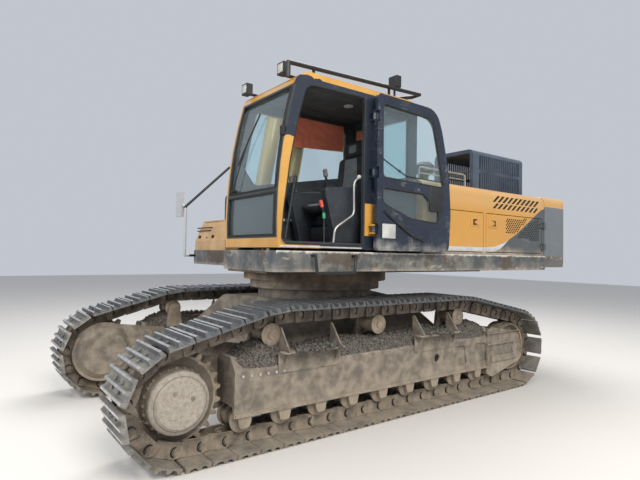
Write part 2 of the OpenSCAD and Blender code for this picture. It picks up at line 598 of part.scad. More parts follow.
// Right half of the house, behind the tanks, with the pump's door
pump_x1 = -1180;
pump_hinge = [seam_x + 70 - move_gap - 20, -panel_y - hinge_stand];
module house_right() color([0.13, 0.17, 0.24]) {
  difference() {
    mirror([0, 1, 0]) difference() {
      cross_cut([[house_y0, deck_z1, 0], [panel_y, deck_z1, 0],
                 [panel_y, house_z, house_edge_r], [house_y0, house_z, 0]], seam_x + move_gap, tank_x0 - 20);
      cross_cut([[house_y0 - 10, deck_z1, 0], [panel_y - panel_t, deck_z1, 0],
                 [panel_y - panel_t, house_z - panel_t, house_edge_r - panel_t],
                 [house_y0 - 10, house_z - panel_t, 0]],
                seam_x + move_gap + panel_t, tank_x0 - 20 - panel_t);
    }
    door_hole(seam_x + 70, pump_x1, -1);
  }
  translate(pump_hinge) mirror([0, 1, 0]) hinge_pins();
  hood_lugs(hood_hinge_ys[0]);
}
module pump_door() color([0.12, 0.16, 0.24]) {
  door_leaf(seam_x + 70, pump_x1, -1);
  translate(pump_hinge) mirror([0, 1, 0]) hinge_knuckles(60);
}

// Cover over the valves between the cab and the tanks, with a wall in front of the engine
cover_z = house_z - 90;
module centre_cover() color([0.13, 0.17, 0.24]) {
  block([tank_x0, -tank_y, cover_z], [house_x1 - 60, house_y0, cover_z + 40]);
  block([tank_x0, -tank_y, 1900], [tank_x0 + 30, house_y0, cover_z]);
}

// Engine hood over the gap between the two halves, hinged at its front edge
hood_x1 = -1080;
hood_x0 = seam_x + 40;
hood_t = 34;
hood_lift = 6;
hood_pin = [hood_x1 + 40, house_z + 30];
hood_hinge_ys = [-house_y0 - 65, house_y0 + 15];
hood_y0 = -house_y0 - 80;
hood_y1 = louvre_y0 - 10;
module engine_hood() color([0.14, 0.18, 0.25]) {
  difference() {
    cross_cut([[hood_y0, house_z + hood_lift, 0], [hood_y1, house_z + hood_lift, 0],
               [hood_y1, house_z + hood_lift + hood_t, 25], [hood_y0, house_z + hood_lift + hood_t, 25]],
              hood_x0, hood_x1, 3);
    for (i = [0 : 5]) for (j = [0 : 1])
      block([-2500 + i * 200, -380 + j * 420, house_z], [-2420 + i * 200, -60 + j * 420, house_z + 60]);
  }
  for (y = hood_hinge_ys) difference() {
    union() {
      along_y(hood_pin.x, hood_pin.y, y, y + 50, knuckle_r);
      block([hood_x1 - 30, y, house_z + 16], [hood_pin.x, y + 50, house_z + 30]);
    }
    along_y(hood_pin.x, hood_pin.y, y - 1, y + 51, pin_r + run_gap);
  }
}
module hood_lugs(y) {
  along_y(hood_pin.x, hood_pin.y, y - 14, y + 64, pin_r);
  for (dy = [-14, 52]) block([hood_pin.x - 16, y + dy, house_z], [hood_pin.x + 16, y + dy + 12, hood_pin.y + pin_r]);
}

// Louvre box on the hood: two rows of upright slots and an open front with one bar
module louvre_box() color([0.20, 0.21, 0.22]) {
  difference() {
    cross_cut([[louvre_y0, house_z, 0], [louvre_y1, house_z, 0], [louvre_y1, louvre_z1, 70],
               [louvre_y0, louvre_z1, 30]], louvre_x0, louvre_x1, 4);
    cross_cut([[louvre_y0 + 20, house_z - 5, 0], [louvre_y1 - 20, house_z - 5, 0],
               [louvre_y1 - 20, louvre_z1 - 20, 50], [louvre_y0 + 20, louvre_z1 - 20, 20]],
              louvre_x0 + 20, louvre_x1 + 10, 4);
    slot_gap = (louvre_x1 - louvre_x0 - 120) / louvre_n;
    for (i = [0 : louvre_n - 1]) for (row = [0, 1])
      translate([louvre_x0 + 60 + (i + 0.25) * slot_gap, louvre_y1 - 30, house_z + 60 + row * 230])
        cube([slot_gap / 2, 50, 190]);
  }
  along_y(louvre_x1 - 30, house_z + 270, louvre_y0 + 10, louvre_y1 - 10, 12);
}

module pre_cleaner() color([0.15, 0.15, 0.15]) translate([-1080, 820, house_z]) rotate_extrude() polygon(rounded([
  [0, 0, 0], [55, 0, 0], [55, 170, 0], [90, 200, 10], [125, 215, 6], [125, 300, 20], [80, 345, 30], [0, 355, 0]], 4));

// Tanks, tool box and rails on the right
tank_r = 60;
module fuel_tank() color([0.14, 0.18, 0.25]) {
  mirror([0, 1, 0]) cross_cut([[tank_y, deck_z1, 0], [panel_y, deck_z1, 0], [panel_y, house_z - 20, tank_r],
    [tank_y, house_z - 20, tank_r]], tank_seam_x + 4, tool_x0 - 5);
  translate([200, -1200, house_z - 25]) cylinder(h = 45, r = 60);
}
module hydraulic_tank() color([0.14, 0.18, 0.25]) {
  mirror([0, 1, 0]) cross_cut([[tank_y, deck_z1, 0], [panel_y, deck_z1, 0], [panel_y, house_z - 20, tank_r],
    [tank_y, house_z - 20, tank_r]], tank_x0, tank_seam_x - 4);
  for (x = [-800, -450]) translate([x, -850, house_z - 25]) cylinder(h = 30, r = 90);
}
box_front = [right_front_x - 20, right_front_x - 130];
lid_pin = [tool_x0 + 40, tool_z1 + 26];
module tool_box() color([0.88, 0.58, 0.12]) {
  difference() {
    side_cut([[tool_x0, deck_z1, 0], [box_front[0], deck_z1, 0], [box_front[0], 1800, 20], [box_front[1], tool_z1, 0],
              [tool_x0, tool_z1, 0]], -panel_y + 20, -tank_y);
    side_cut([[tool_x0 + 70, deck_z1 + 20, 0], [box_front[0] - 22, deck_z1 + 20, 0], [box_front[0] - 22, 1795, 20],
              [box_front[1] - 22, tool_z1 + 20, 0], [tool_x0 + 70, tool_z1 + 20, 0]], -panel_y + 40, -tank_y - 20);
  }
  for (y = [-1250, -800]) {
    along_y(lid_pin.x, lid_pin.y, y - 20, y + 80, pin_r);
    for (dy = [-20, 66]) block([lid_pin.x - 14, y + dy, tool_z1], [lid_pin.x + 14, y + dy + 14, lid_pin.y + 8]);
  }
}
module tool_box_lid() color([0.90, 0.60, 0.14]) {
  block([tool_x0 + 75, -panel_y + 20, tool_z1 + 6], [box_front[1], -tank_y, tool_z1 + 22]);
  for (y = [-1250, -800]) difference() {
    union() {
      along_y(lid_pin.x, lid_pin.y, y, y + 60, knuckle_r - 3);
      block([lid_pin.x, y, tool_z1 + 12], [tool_x0 + 85, y + 60, tool_z1 + 24]);
    }
    along_y(lid_pin.x, lid_pin.y, y - 1, y + 61, pin_r + run_gap);
  }
}
rail_r = 17;
rail_y = 1400;
mast_x = right_front_x + 150;
mirror_w = 190;
module right_rails() color([0.08, 0.08, 0.08]) {
  tube_run([[right_front_x, -rail_y, 1600], [mast_x, -rail_y, 1600], [mast_x, -rail_y, 2260],
            [520, -rail_y, 2860], [340, -rail_y, 2860], [340, -rail_y, house_z - 20]], rail_r);
  tube_run([[mast_x, -rail_y, 2225], [mast_x, -mirror_reach + mirror_w - 10, 2300]], 12);
  block([mast_x - 20, -mirror_reach, 2130], [mast_x + 25, -mirror_reach + mirror_w, 2470]);
}

// Cab: a hollow shell with a round front, its windows and its door opening cut
front_mid_z = 1950;
arc_x = cab_x1 - front_arc_r;
function front_x_at(z, inset = 0) = arc_x + sqrt(pow(front_arc_r - inset, 2) - pow(z - front_mid_z, 2));
module cab_form(inset, y0, y1) side_cut(concat(
  [[cab_x0 + inset, cab_z0 + inset * 1.2, 0]],
  [for (i = [0 : 6]) let (z = cab_z0 + inset * 1.2 + (cab_z1 - 120 - cab_z0) * i / 6) [front_x_at(z, inset), z, 0]],
  [[front_x_at(cab_z1 - 60, inset) - 20, cab_z1 - 45 - inset * 0.6, 0], [front_x_at(cab_z1, inset) - 90, cab_z1 - inset, 60],
   [cab_x0 + inset, cab_z1 - inset, 110 - inset]]), y0, y1);
door_top_z = cab_z1 - 110;
door_sill_z = cab_z0 + 30;
opening_form = [[475, door_sill_z, 40], [1422, door_sill_z, 60], [1400, 2040, 1000], [1344, 2460, 1000],
                [1275, 2820, 1000], [1180, door_top_z, 130], [475, door_top_z + 15, 40]];
right_window = [[-60, 2560, 50], [1150, 2350, 60], [1270, 2500, 60], [1140, 3120, 70], [-60, 3120, 60]];
quarter_window = [[-130, 2350, 50], [300, 2350, 30], [300, 3120, 30], [-130, 3120, 60]];
wind_y = [cab_y0 + 70, cab_y1 - 70];
wind_z = [cab_z0 + 110, split_z - 20, split_z + 20, 3130];
rear_z = [2480, 3110];
module front_cut(z0, z1) block([1000, wind_y[0], z0], [1700, wind_y[1], z1]);
module rear_cut() block([cab_x0 - 20, cab_y0 + 90, rear_z[0]], [cab_x0 + 80, cab_y1 - 90, rear_z[1]]);
module cab_shell() color([0.86, 0.55, 0.12]) {
  difference() {
    cab_form(0, cab_y0, cab_y1);
    cab_form(cab_wall, cab_y0 + cab_wall, cab_y1 - cab_wall);
    side_cut(opening_form, cab_y1 - cab_wall - 5, cab_y1 + 5);
    side_cut(quarter_window, cab_y1 - cab_wall - 5, cab_y1 + 5);
    side_cut(right_window, cab_y0 - 5, cab_y0 + cab_wall + 5);
    front_cut(wind_z[0], wind_z[1]);
    front_cut(wind_z[2], wind_z[3]);
    rear_cut();
  }
  for (z = cab_hinge_zs) translate([hinge_x, hinge_y, z]) {
    cylinder(h = knuckle_h + 30, r = pin_r, center = true);
    for (side = [-1, 1]) translate([-20, cab_y1 - hinge_y, side * (knuckle_h / 2 + 9) - 7])
      cube([40, hinge_y - cab_y1 + pin_r, 14]);
  }
}
glass_in = 20;
module cab_glass() color([0.45, 0.62, 0.66, 0.5]) {
  side_cut(right_window, cab_y0 + glass_in, cab_y0 + glass_in + glass_t);
  side_cut(quarter_window, cab_y1 - glass_in - glass_t, cab_y1 - glass_in);
  intersection() {
    rear_cut();
    block([cab_x0 + glass_in, cab_y0, 2000], [cab_x0 + glass_in + glass_t, cab_y1, 3200]);
  }
  for (z = [0, 2]) intersection() {
    front_cut(wind_z[z], wind_z[z + 1]);
    difference() {
      cab_form(glass_in, cab_y0, cab_y1);
      cab_form(glass_in + glass_t, cab_y0 - 1, cab_y1 + 1);
    }
  }
}
module cab_mounts() color([0.10, 0.10, 0.10]) for (x = [cab_x0 + 130, 1280]) for (y = [cab_y0 + 130, cab_y1 - 130])
  translate([x, y, deck_z1]) cylinder(h = cab_z0 - deck_z1, r = 70);
floor_z = cab_z0 + cab_wall * 1.2;

// Step loop that hangs from the side of the left deck
module deck_step() color([0.07, 0.07, 0.07])
  tube_run([[650, deck_y, 1635], [650, deck_y + 55, 1635], [670, deck_y + 55, 1480], [1100, deck_y + 55, 1480],
            [1120, deck_y + 55, 1635], [1120, deck_y, 1635]], 14);

// Seat on its base, the two consoles beside it and the levers
seat_x = 230;
seat_y = 950;
module seat() color([0.22, 0.22, 0.24]) {
  block([seat_x - 40, seat_y - 200, floor_z], [seat_x + 400, seat_y + 200, 2060]);
  translate([0, seat_y, 0]) side_cut([[seat_x - 60, 2060, 20], [seat_x + 460, 2060, 40], [seat_x + 480, 2190, 60],
    [seat_x + 60, 2160, 60], [seat_x + 20, 2700, 60], [seat_x - 110, 2720, 60], [seat_x - 90, 2300, 200]], -240, 240);
  translate([0, seat_y, 0]) side_cut([[seat_x - 100, 2690, 20], [seat_x - 10, 2690, 20], [seat_x - 30, 2900, 40],
    [seat_x - 120, 2900, 40]], -130, 130);
}
module consoles() color([0.30, 0.34, 0.40]) for (y = [seat_y - 345, seat_y + 255]) {
  side_cut([[330, floor_z, 0], [700, floor_z, 0], [820, 2200, 40], [840, 2290, 30], [430, 2330, 40],
            [330, 2200, 40]], y, y + 90);
}
module levers() color([0.08, 0.08, 0.08]) {
  for (y = [seat_y - 300, seat_y + 300]) {
    bar([780, y, 2298], [800, y, 2400], 12);
    translate([802, y, 2430]) sphere(r = 38);
  }
  for (y = [seat_y - 90, seat_y + 90]) {
    bar([1120, y, floor_z + 12], [1020, y, 2350], 14);
    block([1080, y - 60, floor_z], [1240, y + 60, floor_z + 40]);
  }
}
module curtains() color([0.62, 0.16, 0.10]) {
  block([-20, cab_y0 + cab_wall + seat_gap, 2820], [820, cab_y0 + cab_wall + 20, 3165]);
  block([cab_x0 + cab_wall + seat_gap, 540, 2760], [cab_x0 + cab_wall + 20, 760, 3130]);
}

// Guard rail and lamps on the cab
guard_r = 20;
guard_y = cab_y1 - 70;
guard_x1 = cab_x1 - 120;
guard_x0 = cab_x0 - 110;
guard_z0 = cab_z1 - 65;
guard_z1 = cab_z1 + 65;
guard_z2 = cab_z1 + 125;
module roof_rail() color([0.07, 0.07, 0.07]) {
  tube_run([[guard_x1, guard_y, guard_z0], [guard_x1, guard_y, guard_z1], [guard_x0, guard_y, guard_z2],
            [guard_x0, guard_y - 110, guard_z2], [cab_x0 + 120, guard_y - 130, guard_z1],
            [cab_x0 + 120, guard_y - 130, cab_z1]], guard_r);
  for (x = [cab_x0 + 1310, cab_x0 + 350])
    bar([x, guard_y, guard_z1 + (guard_x1 - x) * (guard_z2 - guard_z1) / (guard_x1 - guard_x0)], [x, guard_y, cab_z1], 14);
}
module lamp(x, y, z, w) {
  block([x - 40, y - w / 2, z - w / 2], [x + 30, y + w / 2, z + w / 2]);
}
module work_lamps() color([0.10, 0.10, 0.10]) {
  for (p = [[530, 45], [1220, 60]]) {
    lamp(1290, p.x, cab_z1 + p.y, 110);
    block([1010, p.x - 30, cab_z1], [1270, p.x + 30, cab_z1 + 12]);
  }
  lamp(-30, 1330, cab_z1 + 200, 120);
  bar([-30, 1330, cab_z1], [-30, 1330, cab_z1 + 150], 12);
}

// Cab door, drawn closed and then turned to where it stands open
door_y1 = hinge_y - 1;
door_w = 1046;
door_top = door_top_z + 60;
// Outlines with columns distance from the hinge line, height, radius
door_form = [[6, door_sill_z - 37, 40], [door_w - 28, door_sill_z - 37, 70], [door_w, 2080, 1500],
             [door_w - 34, 2520, 1500], [door_w - 141, 2960, 900], [door_w - 231, door_top - 30, 200],
             [6, door_top, 40]];
upper_pane = [[80, 2408, 40], [940, 2372, 40], [848, 2770, 800], [768, 3085, 170], [72, 3135, 45]];
lower_pane = [[82, 2155, 40], [470, 2015, 500], [868, 1990, 45], [865, 2175, 40], [760, 2190, 60],
              [640, 2290, 60], [78, 2312, 30]];
cab_hinge_zs = [1900, 2450, 3000];
module door_cut(form, y0, y1) translate([hinge_x, 0, 0]) side_cut(form, y0, y1);
module opened() translate([hinge_x, hinge_y, 0]) rotate([0, 0, door_open]) translate([-hinge_x, -hinge_y, 0]) children();
module cab_door() color([0.12, 0.17, 0.27]) opened() {
  difference() {
    door_cut(door_form, door_y1 - door_t, door_y1);
    door_cut(upper_pane, door_y1 - door_t - 5, door_y1 + 5);
    door_cut(lower_pane, door_y1 - door_t - 5, door_y1 + 5);
    for (z = cab_hinge_zs) block([hinge_x, door_y1 - door_t - 5, z - knuckle_h / 2 - 25],
                                 [hinge_x + 32, door_y1 + 5, z + knuckle_h / 2 + 25]);
  }
  for (z = cab_hinge_zs) translate([hinge_x, hinge_y, z]) difference() {
    union() {
      cylinder(h = knuckle_h, r = knuckle_r, center = true);
      translate([0, -16, -knuckle_h / 2]) cube([60, 14, knuckle_h]);
    }
    cylinder(h = knuckle_h + 2, r = pin_r + run_gap, center = true);
  }
}
module cab_door_glass() color([0.45, 0.62, 0.66, 0.5]) opened() {
  door_cut(upper_pane, door_y1 - glass_in - glass_t, door_y1 - glass_in);
  door_cut(lower_pane, door_y1 - glass_in - glass_t, door_y1 - glass_in);
}

// Boom cylinders, leaning back on their foot pins
module cylinder_pose(s) translate([cyl_foot_x, s * cyl_y, cyl_foot_z]) rotate([0, -cyl_lean, 0]) children();
barrel_z0 = 150;
barrel_z1 = cyl_closed - 190;
module across(w, r) rotate([90, 0, 0]) cylinder(h = w, r = r, center = true);
module boom_cylinder(s) color([0.80, 0.58, 0.20]) cylinder_pose(s) difference() {
  union() {
    across(eye_w, eye_r);
    translate([0, 0, 40]) cylinder(h = barrel_z0 - 40, r = eye_w / 2);
    translate([0, 0, barrel_z0]) cylinder(h = barrel_z1 - barrel_z0, r = barrel_r);
    translate([0, 0, barrel_z1 - 90]) cylinder(h = 90, r = barrel_r + 12);
  }
  across(eye_w + 2, cyl_pin_r + run_gap);
  translate([0, 0, barrel_z0 + 30]) cylinder(h = barrel_z1 - barrel_z0 - 100, r = barrel_bore_r);
  translate([0, 0, barrel_z0 + 30]) cylinder(h = barrel_z1, r = rod_r + run_gap);
}
piston_z = barrel_z0 + 40;
module rod(s) color([0.72, 0.72, 0.72]) cylinder_pose(s) difference() {
  union() {
    translate([0, 0, piston_z]) cylinder(h = 90, r = barrel_bore_r - run_gap);
    translate([0, 0, piston_z]) cylinder(h = cyl_closed - piston_z - 60, r = rod_r);
    translate([0, 0, cyl_closed]) across(eye_w, eye_r);
  }
  translate([0, 0, cyl_closed]) across(eye_w + 2, cyl_pin_r);
}

// The machine stands with the middle of its box over the origin
left_reach = hinge_y + max([for (p = rounded(door_form)) p.x * sin(door_open) - (1 + door_t) * cos(door_open)]);
centre_x = (front_x - tail_r) / 2;
centre_y = (left_reach - mirror_reach) / 2;
module stand() translate([-centre_x, -centre_y, 0]) children();

stand() car_body();
stand() track_frame(1);  // track_frame_left
stand() track_frame(-1);  // track_frame_right
stand() track(1);  // track_left
stand() track(-1);  // track_right
stand() sprockets();
stand() idlers();
stand() track_rollers();
stand() carrier_rollers();
stand() side_steps();
stand() swing_ring();
stand() revolving_frame();
stand() deck_left();
stand() deck_right();
stand() counterweight();
stand() engine_block();
stand() house_left();
stand() house_right();
stand() centre_cover();
stand() engine_hood();
stand() louvre_box();
stand() pre_cleaner();
stand() side_door_front();
stand() side_door_rear();
stand() pump_door();
stand() fuel_tank();
stand() hydraulic_tank();
stand() tool_box();
stand() tool_box_lid();
stand() right_rails();
stand() cab_shell();
stand() cab_glass();
stand() cab_mounts();
stand() deck_step();
stand() seat();
stand() consoles();
stand() levers();
stand() curtains();
stand() roof_rail();
stand() work_lamps();
stand() cab_door();
stand() cab_door_glass();
stand() boom_cylinder(1);  // cylinder_left
stand() boom_cylinder(-1);  // cylinder_right
stand() rod(1);  // rod_left
stand() rod(-1);  // rod_right
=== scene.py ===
import json
import math
import random

import bmesh
import bpy
from mathutils import Matrix, Vector, noise

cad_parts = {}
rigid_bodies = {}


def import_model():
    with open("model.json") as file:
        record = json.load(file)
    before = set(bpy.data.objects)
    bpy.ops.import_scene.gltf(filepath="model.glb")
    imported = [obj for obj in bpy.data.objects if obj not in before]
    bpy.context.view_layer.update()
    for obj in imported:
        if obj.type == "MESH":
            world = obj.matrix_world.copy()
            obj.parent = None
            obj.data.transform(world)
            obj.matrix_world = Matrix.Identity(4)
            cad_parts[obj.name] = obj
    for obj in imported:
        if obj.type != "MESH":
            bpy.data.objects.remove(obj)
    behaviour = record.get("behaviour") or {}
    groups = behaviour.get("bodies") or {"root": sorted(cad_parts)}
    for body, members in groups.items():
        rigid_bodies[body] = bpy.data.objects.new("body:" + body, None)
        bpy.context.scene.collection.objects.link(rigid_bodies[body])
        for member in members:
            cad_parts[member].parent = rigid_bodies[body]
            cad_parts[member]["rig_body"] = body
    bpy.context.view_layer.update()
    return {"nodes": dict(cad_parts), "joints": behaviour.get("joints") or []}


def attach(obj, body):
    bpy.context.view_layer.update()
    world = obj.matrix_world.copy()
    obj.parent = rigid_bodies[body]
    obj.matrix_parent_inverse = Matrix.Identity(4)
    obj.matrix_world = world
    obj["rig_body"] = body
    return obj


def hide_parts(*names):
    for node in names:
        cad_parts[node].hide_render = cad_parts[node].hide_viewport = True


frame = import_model()
nodes = frame["nodes"]
swing = next(j for j in frame["joints"] if j["name"] == "swing")["pos_m"]
shift = Vector((swing[0], swing[1], 0))  # every place below is measured from the swing axis, on the ground
bothSides = ((1, "Left"), (-1, "Right"))
print("frame loaded:", len(nodes), "nodes")


def placeObject(name, data):
    made = bpy.data.objects.new(name, data)
    bpy.context.scene.collection.objects.link(made)
    return made


# Camera, at the photograph's place and angle

cameraSettings = {
    "place": (3.6688, 5.0241, 1.6499),
    "yaw": 233.307,
    "pitch": 1.619,
    "roll": 1.010,
    "lens": 27.80,
    "sensor": 36,
}


def makeCamera():
    s = cameraSettings
    yaw, pitch, roll = (math.radians(s[k]) for k in ("yaw", "pitch", "roll"))
    look = Vector((math.cos(pitch) * math.cos(yaw), math.cos(pitch) * math.sin(yaw), math.sin(pitch)))
    side = look.cross(Vector((0, 0, 1))).normalized()
    top = side.cross(look)
    right = side * math.cos(roll) + top * math.sin(roll)
    up = top * math.cos(roll) - side * math.sin(roll)
    camera = placeObject("camera", bpy.data.cameras.new("camera"))
    camera.data.lens = s["lens"]
    camera.data.sensor_width = s["sensor"]
    turn = Matrix((right, up, -look)).transposed().to_4x4()
    camera.matrix_world = Matrix.Translation(Vector(s["place"]) + shift) @ turn
    bpy.context.scene.camera = camera


makeCamera()


# Floor and light

stageSettings = {
    "floorSize": 60,
    "floorColor": (0.62, 0.60, 0.57),
    "floorRoughness": 0.85,
    "skyColor": (0.86, 0.91, 1.0),
    "skyStrength": 0.62,
    "lamps": [
        # name, place, size, power, colour
        ("keyLight", (2.5, 9.5, 8.5), 6.0, 1250, (1.0, 0.95, 0.87)),
        ("frontLight", (10.0, 2.0, 5.5), 6.0, 520, (0.95, 0.97, 1.0)),
        ("topLight", (-3.5, -3.0, 9.5), 7.0, 900, (1.0, 0.97, 0.93)),
    ],
    "aim": (-0.4, 0.3, 1.4),
}


def makeStage():
    s = stageSettings
    bm = bmesh.new()
    bmesh.ops.create_grid(bm, x_segments=1, y_segments=1, size=s["floorSize"] / 2)
    mesh = bpy.data.meshes.new("floor")
    bm.to_mesh(mesh)
    bm.free()
    floor = placeObject("floor", mesh)
    paint = bpy.data.materials.new("floor")
    paint.use_nodes = True
    shader = paint.node_tree.nodes["Principled BSDF"]
    shader.inputs["Base Color"].default_value = (*s["floorColor"], 1)
    shader.inputs["Roughness"].default_value = s["floorRoughness"]
    mesh.materials.append(paint)
    world = bpy.data.worlds.new("studio")
    world.use_nodes = True
    sky = world.node_tree.nodes["Background"]
    sky.inputs["Color"].default_value = (*s["skyColor"], 1)
    sky.inputs["Strength"].default_value = s["skyStrength"]
    bpy.context.scene.world = world
    for name, place, size, power, color in s["lamps"]:
        light = bpy.data.lights.new(name, "AREA")
        light.size = size
        light.energy = power
        light.color = color
        lamp = placeObject(name, light)
        lamp.location = Vector(place) + shift
        lamp.rotation_euler = (Vector(s["aim"]) - Vector(place)).to_track_quat("-Z", "Y").to_euler()
    bpy.context.scene.view_settings.view_transform = "Standard"


makeStage()
print("camera and stage made")


# Short forms for shader nodes; each works in the tree that the sockets given to it belong to

def feed(sockets, values):
    # Links a socket to another node's output, or gives it a plain value
    for name, value in values.items():
        socket = sockets[name]
        if isinstance(value, bpy.types.NodeSocket):
            socket.id_data.links.new(value, socket)
        else:
            socket.default_value = (*value, 1) if socket.type == "RGBA" else value


def addNode(kind, inputs, **settings):
    tree = next(v.id_data for v in inputs.values() if isinstance(v, bpy.types.NodeSocket))
    node = tree.nodes.new(kind)
    for name, value in settings.items():
        setattr(node, name, value)
    feed(node.inputs, inputs)
    return node


def calc(operation, *values, clamp=False):
    return addNode("ShaderNodeMath", dict(enumerate(values)), operation=operation, use_clamp=clamp).outputs[0]


def chain(operation):
    # A function that joins two or more values by the operation
    def join(first, *others):
        for other in others:
            first = calc(operation, first, other)
        return first
    return join


plus, times, highest = chain("ADD"), chain("MULTIPLY"), chain("MAXIMUM")


def minus(a, b):
    return calc("SUBTRACT", a, b)


def above(value, low):
    return calc("GREATER_THAN", value, low)


def below(value, high):
    return calc("LESS_THAN", value, high)


def within(value, low, high):
    return times(above(value, low), below(value, high))


def distance(x, z, middleX, middleZ):
    run, rise = minus(x, middleX), minus(z, middleZ)
    return calc("SQRT", plus(times(run, run), times(rise, rise)))


def between(value, low, high, start=0.0, end=1.0):
    # A smooth step from start to end while the value goes from low to high
    return addNode("ShaderNodeMapRange", {"Value": value, "From Min": low, "From Max": high, "To Min": start,
                                          "To Max": end}, interpolation_type="SMOOTHSTEP").outputs["Result"]


def mixColor(factor, a, b, blend="MIX"):
    return addNode("ShaderNodeMix", {0: factor, 6: a, 7: b}, data_type="RGBA", blend_type=blend).outputs[2]


def noiseAt(place, scale, detail=5.0, roughness=0.6, stretch=None):
    if stretch:
        place = addNode("ShaderNodeMapping", {"Vector": place, "Scale": stretch}).outputs[0]
    return addNode("ShaderNodeTexNoise", {"Vector": place, "Scale": scale, "Detail": detail,
                                          "Roughness": roughness}).outputs["Fac"]


def waveAt(place, scale, distortion, direction):
    return addNode("ShaderNodeTexWave", {"Vector": place, "Scale": scale, "Distortion": distortion},
                   bands_direction=direction).outputs["Fac"]


def bumpOf(height, strength, deep):
    return addNode("ShaderNodeBump", {"Strength": strength, "Distance": deep, "Height": height}).outputs[0]


def objectPlace(tree):
    return tree.nodes.new("ShaderNodeTexCoord").outputs["Object"]


def placeParts(tree):
    # The place on the object, measured from the swing axis like everything else
    split = addNode("ShaderNodeSeparateXYZ", {0: objectPlace(tree)}).outputs
    return minus(split["X"], shift.x), minus(split["Y"], shift.y), split["Z"]


def newGroup(name, inputs, outputs):
    tree = bpy.data.node_groups.new(name, "ShaderNodeTree")
    for label, value in inputs.items():
        isColor = isinstance(value, tuple)
        kind = "NodeSocketColor" if isColor else "NodeSocketFloat"
        socket = tree.interface.new_socket(label, in_out="INPUT", socket_type=kind)
        socket.default_value = (*value, 1) if isColor else value
    for label, kind in outputs.items():
        tree.interface.new_socket(label, in_out="OUTPUT", socket_type="NodeSocket" + kind)
    return tree, tree.nodes.new("NodeGroupInput").outputs, tree.nodes.new("NodeGroupOutput").inputs


def placeGroup(tree, name, inputs):
    node = tree.nodes.new("ShaderNodeGroup")
    node.node_tree = groups[name]
    feed(node.inputs, inputs)
    return node.outputs


# Shared effects: settled dirt, fine scratches, surface grain and the colour scheme of the side panels

dirtLabels = ("Dirt", "Amount", "Scale", "Low", "High", "Top")


def makeDirtGroup():
    # Dirt on faces that look up and between two heights, broken up by speckles and streaks
    defaults = dict(zip(dirtLabels, ((0.36, 0.27, 0.18), 0.2, 2.0, 0.0, 1.0, 0.4)))
    tree, take, give = newGroup("settledDirt", {"Paint": (0.5, 0.5, 0.5), **defaults},
                                {"Color": "Color", "Mask": "Float"})
    place = objectPlace(tree)
    height = addNode("ShaderNodeSeparateXYZ", {0: place}).outputs["Z"]
    facing = addNode("ShaderNodeVectorTransform", {0: tree.nodes.new("ShaderNodeNewGeometry").outputs["Normal"]},
                     vector_type="NORMAL", convert_from="WORLD", convert_to="OBJECT").outputs[0]
    up = between(addNode("ShaderNodeSeparateXYZ", {0: facing}).outputs["Z"], 0.35, 0.95)
    lowPart = between(height, take["Low"], take["High"], 1.0, 0.0)
    fine = noiseAt(place, take["Scale"], 9.0, 0.68)
    wide = noiseAt(place, times(take["Scale"], 0.27), 3.0, 0.5)
    streak = noiseAt(place, times(take["Scale"], 3.0), 4.0, 0.6, (1, 1, 0.12))
    speckle = plus(times(fine, 0.5), times(wide, 0.3), times(streak, 0.2))
    load = plus(take["Amount"], times(lowPart, 0.45), times(up, take["Top"]))
    mask = between(plus(speckle, load), 0.72, 1.02)
    shade = mixColor(fine, (0.55, 0.55, 0.55), (1.35, 1.35, 1.35))
    dirt = mixColor(1.0, take["Dirt"], shade, "MULTIPLY")
    feed(give, {"Color": mixColor(mask, take["Paint"], dirt), "Mask": mask})
    return tree


def makeScratchGroup():
    # Thin lines where a stretched noise passes its middle, in two directions, kept in patches
    tree, take, give = newGroup("fineScratches", {"Scale": 8.0, "Amount": 0.3}, {"Mask": "Float"})
    place = objectPlace(tree)
    masks = []
    for stretch, turn in (((1.0, 1.0, 0.08), 0.5), ((0.1, 0.1, 1.3), 1.1)):
        turned = addNode("ShaderNodeMapping", {"Vector": place, "Rotation": (turn, turn * 0.6, 0.3),
                                               "Scale": stretch}).outputs[0]
        value = noiseAt(turned, times(take["Scale"], 4.0), 2.0, 0.4)
        masks.append(between(calc("ABSOLUTE", minus(value, 0.5)), 0.0, 0.012, 1.0, 0.0))
    patches = between(noiseAt(place, take["Scale"], 3.0), 0.5, 0.68)
    feed(give, {"Mask": times(highest(*masks), patches, take["Amount"])})
    return tree


def makeGrainGroup():
    # Fine bumps, and wide shallow dents
    tree, take, give = newGroup("surfaceGrain", {"Scale": 60.0, "Strength": 0.2, "Dents": 0.0}, {"Normal": "Vector"})
    place = objectPlace(tree)
    fine, wide = noiseAt(place, take["Scale"], 5.0, 0.65), noiseAt(place, 3.1, 2.0, 0.5)
    height = calc("MULTIPLY_ADD", wide, take["Dents"], fine)
    feed(give, {"Normal": bumpOf(height, take["Strength"], 0.01)})
    return tree


schemeSettings = {
    "yellow": (0.520, 0.262, 0.048),
    "faded": (0.545, 0.330, 0.130),
    "pale": (0.50, 0.53, 0.57),
    "slate": (0.045, 0.058, 0.072),
    "darkGrey": (0.062, 0.070, 0.074),
    "tailGrey": (0.135, 0.150, 0.166),
    "seam": -2.774,
    "slateFrom": (-1.9, -1.6),
    "fade": (2.18, 2.31),  # heights between which the sun has faded the yellow
    # x, height of the line where the yellow ends
    "line": [(-3.80, 2.345), (-2.78, 2.345), (-2.765, 2.315), (-2.68, 2.29), (-2.10, 1.945), (-1.85, 1.83),
             (-1.62, 1.772), (-1.40, 1.762), (-0.20, 1.762)],
    "lineBase": 1.6,
    "stripe": 0.058,
    "stripeEnd": (-1.95, -1.70),
}


